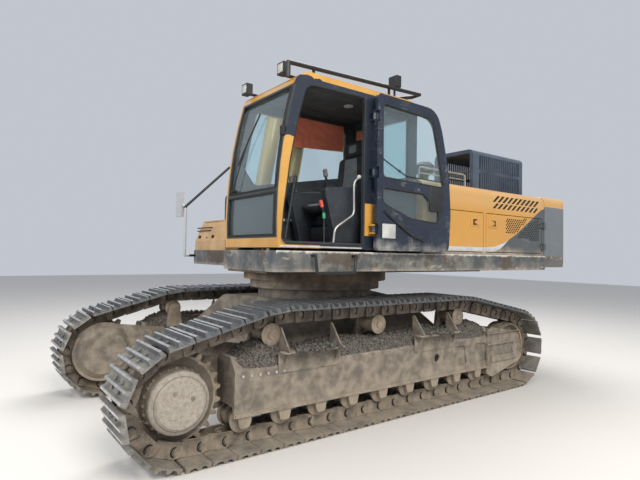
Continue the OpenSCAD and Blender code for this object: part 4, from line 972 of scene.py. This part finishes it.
frameSettings = {
    "ribOutline": [(1.300, 0.776), (1.378, 0.690), (1.378, 0.800), (1.470, 0.800), (1.470, 0.812), (1.325, 1.000),
                   (1.300, 1.000)],
    "ribX": [0.75, 1.32, -0.95, -0.39],
    "ribThick": 0.014,
    # ribs on the idler's guard plate: from and to along x, y and z
    "guardRibs": [((-2.31, -1.60), (1.376, 1.402), (0.565, 0.580)), ((-2.31, -1.60), (1.376, 1.402), (0.700, 0.711)),
                  ((-1.616, -1.60), (1.376, 1.408), (0.225, 0.775)), ((-2.24, -1.70), (1.386, 1.395), (0.353, 0.430))],
    "hole": (-0.700, 0.516),
    "holeRadius": 0.043,
    "bolts": [1.720, 1.640, 1.560, 1.480, 1.400, 1.320],
    "boltZ": 0.632,
    "boltRadius": (0.015, 0.013),
}


def makeFrameDetails():
    # Triangular ribs over the steps, ribs of the idler's guard plate, bolts along the frame's front end, and a dark
    # disc of painted shade for a hole
    s = frameSettings
    for side, name in bothSides:
        bm = bmesh.new()
        outline, half = [(side * y, z) for y, z in s["ribOutline"]], s["ribThick"] / 2
        for x in s["ribX"]:
            addPlate(bm, outline, "x", x - half, x + half)
        for rib in s["guardRibs"]:
            addSideBox(bm, side, *rib)
        for x in s["bolts"]:
            addStud(bm, x, s["boltZ"], side * 1.376, side * 1.392, s["boltRadius"][0], 6, 1, s["boltRadius"][1])
        # the hole: a dark disc of painted shade
        addStud(bm, *s["hole"], side * 1.352, side * 1.3615, s["holeRadius"], 24, 2)
        addPiece("frameDetails" + name, bm, "undercarriage", ("paintDusty", "tipSteel", "slotBlack"), 35)


makeFrameDetails()

gravelSettings = {
    "length": (-1.66, 1.76),
    "beamHalf": 0.186,
    "beamTop": 0.78,
    "shoulder": 0.672,
    "flatHalf": 0.10,
    # middle of a heap along X, its half length, its height
    "heaps": [(1.45, 0.34, 0.085), (0.62, 0.42, 0.055), (0.05, 0.30, 0.040), (-0.60, 0.40, 0.070),
              (-1.35, 0.36, 0.075)],
    "stones": 2600,
    "stoneSize": (0.005, 0.015),
    "stepStones": 70,
    "stepStoneSize": (0.012, 0.038),
    "stepX": (1.035, -0.67),
    "stepTop": 0.80,
    "squeeze": (0.7, 1.2),
    "seed": 7,
}


def beamTop(y):
    s = gravelSettings
    off = max(0.0, abs(y) - s["flatHalf"]) / (s["beamHalf"] - s["flatHalf"])
    return s["beamTop"] - (s["beamTop"] - s["shoulder"]) * min(off, 1.0)


def gravelHeight(x, y):
    s = gravelSettings
    rise = sum(h * math.exp(-((x - m) / w) ** 2 * 2) for m, w, h in s["heaps"])
    bumpy = noise.noise(Vector((x * 6, y * 8, 0.3))) * 0.02 + noise.noise(Vector((x * 23, y * 23, 1.7))) * 0.008
    edge = min(1.0, (s["beamHalf"] - abs(y)) / 0.06) * min(1.0, (x - s["length"][0]) / 0.1, (s["length"][1] - x) / 0.1)
    return (rise + bumpy + 0.006) * max(edge, 0.0)


def makeGravel():
    # A bed of gravel on each beam with loose stones in it, and larger stones on the steps
    s = gravelSettings
    bmStone = bmesh.new()
    bmesh.ops.create_icosphere(bmStone, subdivisions=1, radius=1.0)
    stone = asMesh(bmStone, "stone")
    for side, name in bothSides:
        randomly = random.Random(s["seed"] + side)
        middle = side * trackSettings["gauge"] / 2
        bm = bmesh.new()
        bmesh.ops.create_grid(bm, x_segments=150, y_segments=16, size=0.5)
        x0, x1 = s["length"]
        for vert in bm.verts:
            x = x0 + (vert.co.x + 0.5) * (x1 - x0)
            y = vert.co.y * 2 * s["beamHalf"]
            vert.co = (x, middle + y, beamTop(y) + gravelHeight(x, y) - 0.002)
        places = []
        for _ in range(s["stones"]):
            x, y = randomly.uniform(x0 + 0.05, x1 - 0.05), randomly.triangular(-1, 1, 0) * (s["beamHalf"] - 0.02)
            size = randomly.uniform(*s["stoneSize"]) * randomly.choice((0.6, 0.8, 1.0, 1.0, 1.5))
            spot = Vector((x, middle + y, beamTop(y) + gravelHeight(x, y) + size * 0.25))
            places.append((spot, size))
        for step in s["stepX"]:
            for _ in range(s["stepStones"]):
                x, out = randomly.gauss(step, 0.13), randomly.uniform(0.21, 0.27 + 0.12 * randomly.random())
                size = randomly.uniform(*s["stepStoneSize"])
                if abs(x - step) < 0.30:
                    places.append((Vector((x, middle + side * out, s["stepTop"] + size * 0.5)), size))
        matrices = []
        for spot, size in places:
            turn = Matrix.Rotation(randomly.uniform(0, 6.28), 4, Vector([randomly.uniform(-1, 1) for _ in range(3)]))
            wide, long = randomly.uniform(*s["squeeze"]), randomly.uniform(*s["squeeze"])
            squeeze = Matrix.Diagonal((size * wide, size * long, size * s["squeeze"][0], 1))
            matrices.append(Matrix.Translation(spot) @ turn @ squeeze)
        stamp(bm, stone, matrices)
        addPiece("gravel" + name, bm, "undercarriage", "gravel", 80, recalc=False)


makeGravel()
print("undercarriage made")


# Upper structure

upperFinishes = {
    "revolving_frame": ("frameDark", 0.004),
    "deck_left": ("deckPaint", 0.007, 3),
    "deck_right": ("deckPaint", 0.007, 3),
    "counterweight": ("tailPaint", 0.020, 3, "counterweightBlock", 0.075),
    "engine_block": ("frameDark", 0.01),
    "house_left": ("sidePanels", 0.004),
    "house_right": ("sidePanels", 0.004),
    "side_door_front": ("sidePanels", 0.004),
    "side_door_rear": ("sidePanels", 0.004),
    "pump_door": ("sidePanels", 0.004),
    "centre_cover": ("paintNavy", 0.004),
    "engine_hood": ("charcoal", 0.004),
    "pre_cleaner": ("blackPlastic", 0.004),
    "fuel_tank": ("paintNavy", 0.006),
    "hydraulic_tank": ("paintNavy", 0.006),
    "tool_box": ("paintFaded", 0.004),
    "tool_box_lid": ("paintFaded", 0.003),
    "right_rails": ("blackSteel", 0.002, 1),
    "cab_mounts": ("rubber", 0.01),
    "deck_step": ("blackSteel", 0.0),
    "cylinder_left": ("paintYellow", 0.004, 2, "boomCylinderLeft"),
    "rod_left": ("chromeRod", 0.003, 2, "cylinderRodLeft"),
    "cylinder_right": ("paintYellow", 0.004, 2, "boomCylinderRight"),
    "rod_right": ("chromeRod", 0.003, 2, "cylinderRodRight"),
}
for node, look in upperFinishes.items():
    dress(node, *look)

panelSettings = {
    "side": 1.470,
    # rows of slots, drawn as thin dark plates of painted shade: lower and upper edge, slant towards the tail
    "slotX": (-1.610, -2.505),
    "slots": 10,
    "slotRows": [(2.243, 2.308, 0.085), (2.322, 2.400, 0.105)],
    "slotWidth": 0.048,
    # corners of the two perforated fields, and the holes in them, drawn as small dark plates of painted shade
    "fields": [[(-1.862, 2.143), (-2.366, 2.150), (-2.077, 1.950), (-1.862, 1.949)],
               [(-2.455, 2.130), (-2.640, 2.175), (-2.650, 1.872), (-2.095, 1.900), (-2.150, 1.945)]],
    "holePitch": (0.044, 0.0235),
    "holeSize": (0.0125, 0.0080),
    "latches": {"side_door_front": (-1.245, 2.056), "side_door_rear": (-1.597, 2.056)},
    # plates of a latch: half width, reach down and up, from and to across the panel, bevel
    "latch": [(0.092, 0.056, 0.056, -0.004, 0.006, 0.004), (0.050, 0.036, 0.036, 0.0, 0.0075, 0.003),
              (0.020, 0.014, 0.012, 0.004, 0.012, 0.003)],
}


def insideOutline(x, z, corners):
    hits = 0
    for i, (ax, az) in enumerate(corners):
        bx, bz = corners[(i + 1) % len(corners)]
        if (az > z) != (bz > z) and x < ax + (z - az) / (bz - az) * (bx - ax):
            hits += 1
    return hits % 2 == 1


def makePanelDetails():
    # Painted shade for the slanted slots and the perforated fields in the left side panels, as thin dark plates, and
    # latches on the doors
    s = panelSettings
    bm = bmesh.new()
    step = (s["slotX"][1] - s["slotX"][0]) / (s["slots"] - 1)
    half = s["slotWidth"] / 2
    # each slot is a thin dark plate of painted shade
    for low, high, slant in s["slotRows"]:
        for k in range(s["slots"]):
            x = s["slotX"][0] + k * step
            outline = [(x - half, low), (x + half, low), (x + half - slant, high), (x - half - slant, high)]
            addPlate(bm, outline, "y", s["side"] - 0.008, s["side"] + 0.0008)
    addPiece("panelSlotShade", bm, "upper", "slotBlack", 30)
    # the holes of the perforated fields: small dark plates of painted shade
    bm = bmesh.new()
    wide, tall = s["holeSize"]
    for corners in s["fields"]:
        xs, zs = zip(*corners)
        for row in range(int((max(zs) - min(zs)) / s["holePitch"][1]) + 1):
            z = min(zs) + (row + 0.5) * s["holePitch"][1]
            x = min(xs) + (row % 2) * s["holePitch"][0] / 2
            while x < max(xs):
                if insideOutline(x, z, corners):
                    outline = [(x - wide, z - tall), (x + wide, z - tall), (x + wide, z + tall), (x - wide, z + tall)]
                    addPlate(bm, outline, "y", s["side"] - 0.004, s["side"] + 0.0016)
                x += s["holePitch"][0]
    addPiece("doorPerforationShade", bm, nodes["side_door_rear"]["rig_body"], "slotBlack", 30)
    for node, (x, z) in s["latches"].items():
        bm = bmesh.new()
        for mat, (half, down, up, inner, outer, bevel) in enumerate(s["latch"]):
            addBox(bm, (x - half, s["side"] + inner, z - down), (x + half, s["side"] + outer, z + up), bevel, mat)
        finish = ("sidePanels", "rustyPocket", "paintYellow")
        addPiece(node.title().replace("_", "") + "Latch", bm, nodes[node]["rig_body"], finish, 35)


makePanelDetails()

topSettings = {
    "handrailX": (-0.45, -1.27),
    "handrailY": 1.300,
    "handrailZ": (2.476, 2.570, 2.635),
    "handrailRadius": 0.010,
    # holes in the tool box, drawn as dark discs of painted shade: y, radius
    "toolHoles": [(-1.346, 0.038), (-1.112, 0.015), (-0.933, 0.038)],
    "toolHoleZ": 1.835,
    "toolHoleX": (0.955, 0.9665),
    # bars in front of the tool box, seen from above
    "barOutline": [(0.900, -1.50), (0.935, -1.50), (0.935, -1.08), (0.900, -1.08)],
    "barZ": (1.935, 1.975),
}


def makeTopDetails():
    # Handrail on the house, dark discs of painted shade in the tool box's holes, and its bars
    s = topSettings
    bm = bmesh.new()
    (x0, x1), y, (foot, middle, top) = s["handrailX"], s["handrailY"], s["handrailZ"]
    addTube(bm, roundedLine([(x0, y, foot), (x0, y, top), (x1, y, top), (x1, y, foot)], 0.05), s["handrailRadius"])
    addRod(bm, (x0, y, middle), (x1, y, middle), s["handrailRadius"] * 0.8, 8)
    addPiece("houseHandrail", bm, "upper", "bareSteel", 45)
    body = nodes["tool_box"]["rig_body"]
    bm = bmesh.new()
    for y, radius in s["toolHoles"]:
        addRod(bm, (s["toolHoleX"][0], y, s["toolHoleZ"]), (s["toolHoleX"][1], y, s["toolHoleZ"]), radius, 20)
    addPiece("toolBoxHoles", bm, body, "slotBlack", 30)
    bm = bmesh.new()
    for z in s["barZ"]:
        addTube(bm, roundedLine([(x, y, z) for x, y in s["barOutline"]], 0.02), 0.008)
    addPiece("toolBoxBars", bm, body, "blackSteel", 40)


makeTopDetails()

louvreSettings = {
    "x": (-2.760, -1.630),
    "y": (0.520, 1.150),
    "z": (2.480, 3.030),
    "wall": 0.020,
    "corner": 0.070,
    "portal": 0.095,
    "portalRim": 0.050,
    "slotsX": (-2.670, -1.765),
    "slots": 21,
    "bar": 0.42,  # a bar's share of the pitch
    "rails": [(2.480, 2.535), (2.735, 2.775)],
    "tieZ": 2.750,
    "tieRadius": 0.012,
}


def makeLouvreBox():
    # Side walls of upright bars between rails, a rounded portal at the open front, roof and rear wall
    s = louvreSettings
    (x0, x1), (y0, y1), (z0, z1) = s["x"], s["y"], s["z"]
    wall, corner, portal = s["wall"], s["corner"], x1 - s["portal"]
    bm = bmesh.new()

    def arch(inset):
        points = [(y0 + inset, z0)]
        for side, middleY in ((0, y0 + corner), (1, y1 - corner)):
            for k in range(7):
                angle = math.pi - math.pi / 2 * (k / 6 + side)
                points.append((middleY + (corner - inset) * math.cos(angle),
                               z1 - corner + (corner - inset) * math.sin(angle)))
        return points + [(y1 - inset, z0)]

    def band(a, b, inset, skip=()):
        # A strip of the arch between two places along X, without the sides that are skipped
        outer, inner = arch(0.0), arch(inset)
        for k in range(len(outer) - 1):
            if k not in skip:
                addPlate(bm, [outer[k], outer[k + 1], inner[k + 1], inner[k]], "x", a, b)

    band(portal, x1, s["portalRim"])
    band(x0, portal, wall, skip=(0, len(arch(0.0)) - 2))  # the bars stand in place of its upright sides
    addPlate(bm, arch(0.002), "x", x0, x0 + wall)
    a, b = s["slotsX"]
    pitch = (b - a) / s["slots"]
    top = z1 - corner + 0.001
    for y in (y0, y1 - wall):
        near, far = y + 0.001, y + wall - 0.001
        for low, high in s["rails"]:
            addBox(bm, (a, near, low), (b, far, high))
        for start, end in ((x0 + 0.004, a), (b, portal + 0.004)):
            addBox(bm, (start, near, z0), (end, far, top))
        for k in range(1, s["slots"]):
            x, half = a + k * pitch, pitch * s["bar"] / 2
            addBox(bm, (x - half, y + 0.003, z0 + 0.01), (x + half, far, top + 0.001))
    addRod(bm, (x1 - 0.030, y0 + 0.02, s["tieZ"]), (x1 - 0.030, y1 - 0.02, s["tieZ"]), s["tieRadius"], 10)
    addPiece("louvreBox", bm, "upper", "charcoal", 35, ("louvre_box",))


makeLouvreBox()
print("upper structure made")


# Cab

cabFinishes = {
    "cab_shell": ("cabPaint", 0.006, 3),
    "cab_glass": ("glass", 0.0),
    "roof_rail": ("blackSteel", 0.0),
    "work_lamps": ("blackPlastic", 0.006),
    "cab_door": ("paintNavy", 0.006, 3),
    "cab_door_glass": ("glass", 0.0),
    "consoles": ("consolePlastic", 0.012, 3, "sideConsoles"),
}
for node, look in cabFinishes.items():
    dress(node, *look)

leverSettings = {
    "y": (0.65, 1.25),
    "foot": (0.780, 2.298),
    "bar": (0.800, 2.400, 0.012),
    # x, z, radius up the grip, and z, radius up the folded gaiter
    "grip": [(0.797, 2.392, 0.016), (0.800, 2.402, 0.025), (0.806, 2.432, 0.021), (0.813, 2.455, 0.024),
             (0.818, 2.466, 0.015)],
    "gaiter": [(2.298, 0.050), (2.310, 0.038), (2.318, 0.044), (2.330, 0.031), (2.338, 0.037), (2.350, 0.024),
               (2.358, 0.029), (2.372, 0.014)],
    "gaiterLean": 0.2,
    # from and to as x, z, and radius of the button in the grip
    "button": ((0.815, 2.462), (0.819, 2.471), 0.007),
    "pedalY": (0.86, 1.04),
    # a pedal's lever and its grip: foot and top as x, z, radius, sides, radius at the top
    "pedalRods": [((1.120, 1.762), (1.020, 2.350), 0.014, 12, 0.014),
                  ((1.022, 2.335), (1.010, 2.405), 0.021, 16, 0.017)],
    # x and z from and to, and half width of a pedal; its ribs' number, first place and pitch
    "pedal": ((1.080, 1.240), (1.750, 1.784), 0.060),
    "pedalRibs": (6, 1.098, 0.025),
}


def makeLevers():
    # Two hand levers with folded gaiters and grips, and two pedals with their levers and ribs
    s = leverSettings
    bm = bmesh.new()
    x0, z0 = s["foot"]
    barX, barZ, barRadius = s["bar"]
    for y in s["y"]:
        addRod(bm, (x0, y, z0), (barX, y, barZ), barRadius, 12)
        for (za, ra), (zb, rb) in zip(s["gaiter"], s["gaiter"][1:]):
            x = x0 + (za - z0) * s["gaiterLean"]
            addRod(bm, (x, y, za), (x + 0.002, y, zb), ra, 20, 0, rb)
        for (xa, za, ra), (xb, zb, rb) in zip(s["grip"], s["grip"][1:]):
            addRod(bm, (xa, y, za), (xb, y, zb), ra, 20, 1, rb)
        (xa, za), (xb, zb), radius = s["button"]
        addRod(bm, (xa, y, za), (xb, y, zb), radius, 12, 2)
    count, ribX, ribPitch = s["pedalRibs"]
    (low, high), (bottom, top), half = s["pedal"]
    for y in s["pedalY"]:
        for (xa, za), (xb, zb), radius, sides, endRadius in s["pedalRods"]:
            addRod(bm, (xa, y, za), (xb, y, zb), radius, sides, 0, endRadius)
        addBox(bm, (low, y - half, bottom), (high, y + half, top), 0.006)
        for k in range(count):
            x = ribX + k * ribPitch
            addBox(bm, (x - 0.004, y - 0.050, top - 0.002), (x + 0.004, y + 0.050, top + 0.006), 0.002)
    addPiece("controlLevers", bm, "upper", ("blackPlastic", "gripGrey", "redPlastic"), 35, ("levers",))


makeLevers()

cabDetailSettings = {
    "screenPanes": [(1.810, 2.180), (2.220, 3.130)],
    "screenY": (0.520, 1.380),
    "screenSeal": 0.011,
    "screenSteps": 8,
    # seals round the doorway and the rear quarter window
    "openings": [[(0.475, 1.730), (1.422, 1.730), (1.400, 2.040), (1.344, 2.460), (1.275, 2.820), (1.180, 3.165),
                  (0.475, 3.180)],
                 [(-0.130, 2.350), (0.300, 2.350), (0.300, 3.120), (-0.130, 3.120)]],
    "sealY": 1.437,
    "sealRadius": 0.014,
    # the wiper's blade and arm: y, z points and radius
    "wiper": [([(0.660, 2.500), (0.800, 2.735), (0.930, 2.970)], 0.008),
              ([(0.610, 2.250), (0.700, 2.480), (0.800, 2.735)], 0.006)],
    "wiperPivot": (0.61, 2.25, 0.018),
    "coverFoot": ((1.392, 1.400, 2.670), (1.424, 1.448, 2.755)),
    # x, y, z and half size of a lamp's glass
    "lenses": [(1.320, 0.530, 3.320, 0.040), (1.320, 1.220, 3.335, 0.040), (-0.072, 1.330, 3.475, 0.044)],
    # safety lever, grab tube and the loop at the front: points, corner, radius, sides, material index
    "tubes": [([(0.870, 1.33, 1.740), (0.870, 1.33, 1.829), (0.875, 1.33, 2.026), (0.900, 1.33, 2.100)],
               0.03, 0.010, 8, 0),
              ([(0.503, 1.38, 2.394), (0.554, 1.38, 2.355), (0.547, 1.38, 2.043), (0.610, 1.38, 2.001),
                (0.780, 1.38, 1.897), (0.800, 1.38, 1.736)], 0.05, 0.011, 10, 3),
              ([(1.407, 1.36, 2.087), (1.371, 1.36, 2.094), (1.349, 1.36, 2.047), (1.353, 1.36, 1.977),
                (1.372, 1.36, 1.923), (1.397, 1.36, 1.913)], 0.03, 0.008, 8, 4)],
    "leverGrips": [((0.897, 1.33, 2.090), (0.918, 1.33, 2.150), 0.017, 12, 1),
                   ((0.875, 1.33, 1.985), (0.878, 1.33, 2.035), 0.015, 12, 2)],
    "grabKnob": ((0.490, 1.38, 2.410), 0.022, 14, 4),
    # pale knobs on the console, a strip over the sill and the ceiling lamp
    "knobs": [((x, 0.560, 1.995), (x, 0.560, 2.020), 0.013, 12, 0, 0.010) for x in (0.690, 0.735, 0.785, 0.830)],
    "sillStrip": ((0.505, 1.444, 1.704), (1.430, 1.4535, 1.718), 0.003),
    "ceilingLamp": ((0.38, 1.07, 3.196), (0.38, 1.07, 3.206), 0.050, 24),
    "ceiling": [((-0.190, 0.510, 3.204), (1.190, 1.390, 3.2235), 0.008),
                ((-0.10, 0.61, 3.198), (1.10, 0.71, 3.206), 0.003),
                ((-0.10, 1.19, 3.198), (1.10, 1.29, 3.206), 0.003)],
}


def screenX(z):
    c = cabSettings
    return c["arcX"] + math.sqrt(c["arcR"] ** 2 - (z - c["arcZ"]) ** 2)


def makeCabDetails():
    # Seals, wiper, lamp glasses, handles, small pale parts and the ceiling
    s = cabDetailSettings
    bm = bmesh.new()
    left, right = s["screenY"]
    for low, high in s["screenPanes"]:
        heights = [low + (high - low) * k / s["screenSteps"] for k in range(s["screenSteps"] + 1)]
        rim = [(screenX(z) - 0.002, left, z) for z in heights]
        rim += [(screenX(z) - 0.002, right, z) for z in reversed(heights)]
        addTube(bm, rim, s["screenSeal"], closed=True)
    for outline in s["openings"]:
        line = roundedLine([(x, s["sealY"], z) for x, z in outline], 0.05, 4, closed=True)
        addTube(bm, line, s["sealRadius"], closed=True)
    for points, radius in s["wiper"]:
        addTube(bm, [(screenX(z) + 0.022 - radius, y, z) for y, z in points], radius, 6)
    y, z, radius = s["wiperPivot"]
    addRod(bm, (screenX(z) - 0.02, y, z), (screenX(z) + 0.03, y, z), radius, 12)
    addBox(bm, *s["coverFoot"], 0.005)
    addPiece("cabSeals", bm, "upper", "rubber", 50)
    bm = bmesh.new()
    for x, y, z, half in s["lenses"]:
        addBox(bm, (x - 0.002, y - half, z - half), (x + 0.004, y + half, z + half), 0.0025)
    addPiece("lampLenses", bm, "upper", "lampGlass", 40)
    bm = bmesh.new()
    for points, corner, radius, sides, mat in s["tubes"]:
        addTube(bm, roundedLine(points, corner), radius, sides, mat=mat)
    for grip in s["leverGrips"]:
        addRod(bm, *grip)
    addBall(bm, *s["grabKnob"])
    addPiece("cabHandles", bm, "upper", ("blackSteel", "redPlastic", "greenPlastic", "bareSteel", "palePlastic"), 45)
    bm = bmesh.new()
    for knob in s["knobs"]:
        addRod(bm, *knob)
    addBox(bm, *s["sillStrip"])
    addRod(bm, *s["ceilingLamp"])
    addPiece("cabPaleBits", bm, "upper", "palePlastic", 45)
    bm = bmesh.new()
    for box in s["ceiling"]:
        addBox(bm, *box)
    addPiece("cabHeadliner", bm, "upper", "headliner", 40)


makeCabDetails()

doorSettings = {
    # x and y of the hinge, and which way the open door and its outer face point
    "hinge": (0.405, 1.500),
    "along": (-0.99863, 0.05234),
    "out": (0.05234, 0.99863),
    "angle": -3.0,
    # outlines and lines: distance from the hinge, height
    "panes": [[(0.080, 2.408), (0.940, 2.372), (0.848, 2.770), (0.768, 3.085), (0.072, 3.135)],
              [(0.082, 2.155), (0.470, 2.015), (0.868, 1.990), (0.865, 2.175), (0.760, 2.190), (0.640, 2.290),
               (0.078, 2.312)]],
    "pull": [(0.108, 2.069), (0.247, 1.979), (0.463, 1.848), (0.628, 1.803)],
    "rail": [(0.054, 2.645), (0.082, 2.590), (0.391, 2.449), (0.930, 2.433)],
    "railKnob": (0.300, 2.492),
    # middle as distance, height and depth, then half sizes, bevel, material index
    "card": ((0.165, 1.885, 0.0448), (0.085, 0.0015, 0.070), 0.001, 3),
    "lock": ((0.8255, 2.2425, 0.0395), (0.0995, 0.0085, 0.1295), 0.006, 2),
}


def doorSpot(u, z, deep):
    # A point on the open door: how far along it from its hinge, and how far through its thickness
    s = doorSettings
    x, y = (s["hinge"][k] + s["along"][k] * u + s["out"][k] * deep for k in (0, 1))
    return x, y, z


def makeDoorDetails():
    # Seals round both panes, lock housing, card, pull tube and thin rail on the inner side, which the open door shows
    s = doorSettings
    bm = bmesh.new()
    for pane in s["panes"]:
        addTube(bm, roundedLine([doorSpot(u, z, 0.034) for u, z in pane], 0.05, 4, closed=True), 0.012, closed=True)
    addTube(bm, roundedLine([doorSpot(u, z, 0.053) for u, z in s["pull"]], 0.06), 0.011, 10, mat=1)
    for u, z in (s["pull"][0], s["pull"][-1]):
        addRod(bm, doorSpot(u, z, 0.040), doorSpot(u, z, 0.053), 0.014, 10, 1)
    addTube(bm, roundedLine([doorSpot(u, z, 0.036) for u, z in s["rail"]], 0.05), 0.006, mat=1)
    addBall(bm, doorSpot(*s["railKnob"], 0.036), 0.015, 12, 1)
    turn = Matrix.Rotation(math.radians(s["angle"]), 4, "Z")
    for middle, half, bevel, mat in (s["card"], s["lock"]):
        spot = Vector(doorSpot(*middle))
        addBox(bm, spot - Vector(half), spot + Vector(half), bevel, mat, turn)
    finish = ("rubber", "blackSteel", "blackPlastic", "palePlastic")
    addPiece("doorDetails", bm, nodes["cab_door"]["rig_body"], finish, 50)


makeDoorDetails()

seatSettings = {
    "y": 0.95,
    # piece, its outline seen from the side, and its half width
    "cushions": {
        "seatCushion": ([(0.19, 2.07), (0.66, 2.07), (0.70, 2.10), (0.71, 2.17), (0.62, 2.185), (0.30, 2.155),
                         (0.20, 2.12)], 0.240),
        "seatBack": ([(0.15, 2.12), (0.27, 2.13), (0.30, 2.20), (0.24, 2.45), (0.245, 2.68), (0.21, 2.71),
                      (0.13, 2.71), (0.11, 2.45)], 0.240),
        "seatHeadrest": ([(0.115, 2.70), (0.215, 2.70), (0.225, 2.80), (0.20, 2.885), (0.13, 2.89), (0.11, 2.80)],
                         0.14),
    },
    # share of the back's width at its foot, how much of it goes per metre of height, and the foot's height
    "backTaper": (1.06, 0.42, 2.12),
    # boxes of the base: x, half width, z, bevel; the last three are the folds of its cover
    "base": [((0.21, 0.62), 0.19, (1.765, 1.93), 0.02), ((0.25, 0.58), 0.15, (1.93, 2.06), 0.03)]
            + [((0.235, 0.595), 0.165, (z, z + 0.012), 0.004) for z in (1.955, 1.985, 2.015)],
    "fill": 0.7,
}


def makeSeat():
    s = seatSettings
    for name, (outline, half) in s["cushions"].items():
        bm = bmesh.new()
        addPlate(bm, outline, "y", s["y"] - half, s["y"] + half)
        bmesh.ops.recalc_face_normals(bm, faces=bm.faces)
        caps = [f for f in bm.faces if abs(f.normal.y) > 0.9]
        bmesh.ops.inset_region(bm, faces=caps, thickness=0.02, depth=0.012)
        if name == "seatBack":
            foot, slope, low = s["backTaper"]
            for vert in bm.verts:
                vert.co.y = s["y"] + (vert.co.y - s["y"]) * (foot - slope * (vert.co.z - low))
        # A raised middle panel between the side bolsters, with a seam round it
        front = [f for f in bm.faces if abs(f.normal.y) < 0.5
                 and (f.normal.x > 0.6 or (name == "seatCushion" and f.normal.z > 0.6))]
        bmesh.ops.inset_region(bm, faces=front, thickness=0.045, depth=0.0)
        bmesh.ops.inset_region(bm, faces=front, thickness=0.010, depth=-0.008)
        for face in bm.faces:
            face.material_index = 1
        for face in front:
            face.material_index = 0
        piece = addPiece(name, bm, "upper", ("padGrey", "padBlack"), 60, ("seat",))
        soft = piece.modifiers.new("soft", "SUBSURF")
        soft.levels = soft.render_levels = 2
    bm = bmesh.new()
    for x, half, z, bevel in s["base"]:
        addBox(bm, (x[0], s["y"] - half, z[0]), (x[1], s["y"] + half, z[1]), bevel)
    addPiece("seatBase", bm, "upper", "blackPlastic", 40, ("seat",))


makeSeat()

curtainSettings = {
    # span is from and to along the window, across is the place square to it, low the two lower corners' heights
    "sideCurtain": {"span": (-0.015, 0.815), "across": 0.512, "top": 3.16, "low": (2.86, 2.815), "folds": 9,
                    "cloth": 0.0016},
    "rearCurtain": {"span": (0.545, 0.755), "across": -0.188, "top": 3.125, "low": (2.765, 2.765), "folds": 4,
                    "cloth": 0.0016},
}


def makeCurtains():
    for name, s in curtainSettings.items():
        a, b = s["span"]
        bm = bmesh.new()
        bmesh.ops.create_grid(bm, x_segments=90, y_segments=30, size=0.5)
        for vert in bm.verts:
            u, v = vert.co.x + 0.5, 0.5 - vert.co.y
            low = s["low"][0] + (s["low"][1] - s["low"][0]) * u
            fold = math.sin(u * s["folds"] * 2 * math.pi + 2.5 * math.sin(v * 4 + u * 3)) * 0.0030 * (0.4 + 0.6 * v)
            wrinkle = noise.noise(Vector((u * 8 + v * 4, v * 5 - u * 3, 2.0))) * 0.007
            wrinkle += noise.noise(Vector((u * 21, v * 13, 5.0))) * 0.0025
            flat, across = a + (b - a) * u, s["across"] + fold + wrinkle
            x, y = (flat, across) if name == "sideCurtain" else (across, flat)
            vert.co = (x, y, s["top"] + (low - s["top"]) * v)
        area = sum(f.calc_area() for f in bm.faces)
        piece = addPiece(name, bm, "upper", "curtainCloth", 80, ("curtains",), recalc=False)
        thick = piece.modifiers.new("cloth", "SOLIDIFY")
        thick.thickness = s["cloth"]
        thick.offset = 0


makeCurtains()
print("cab made")
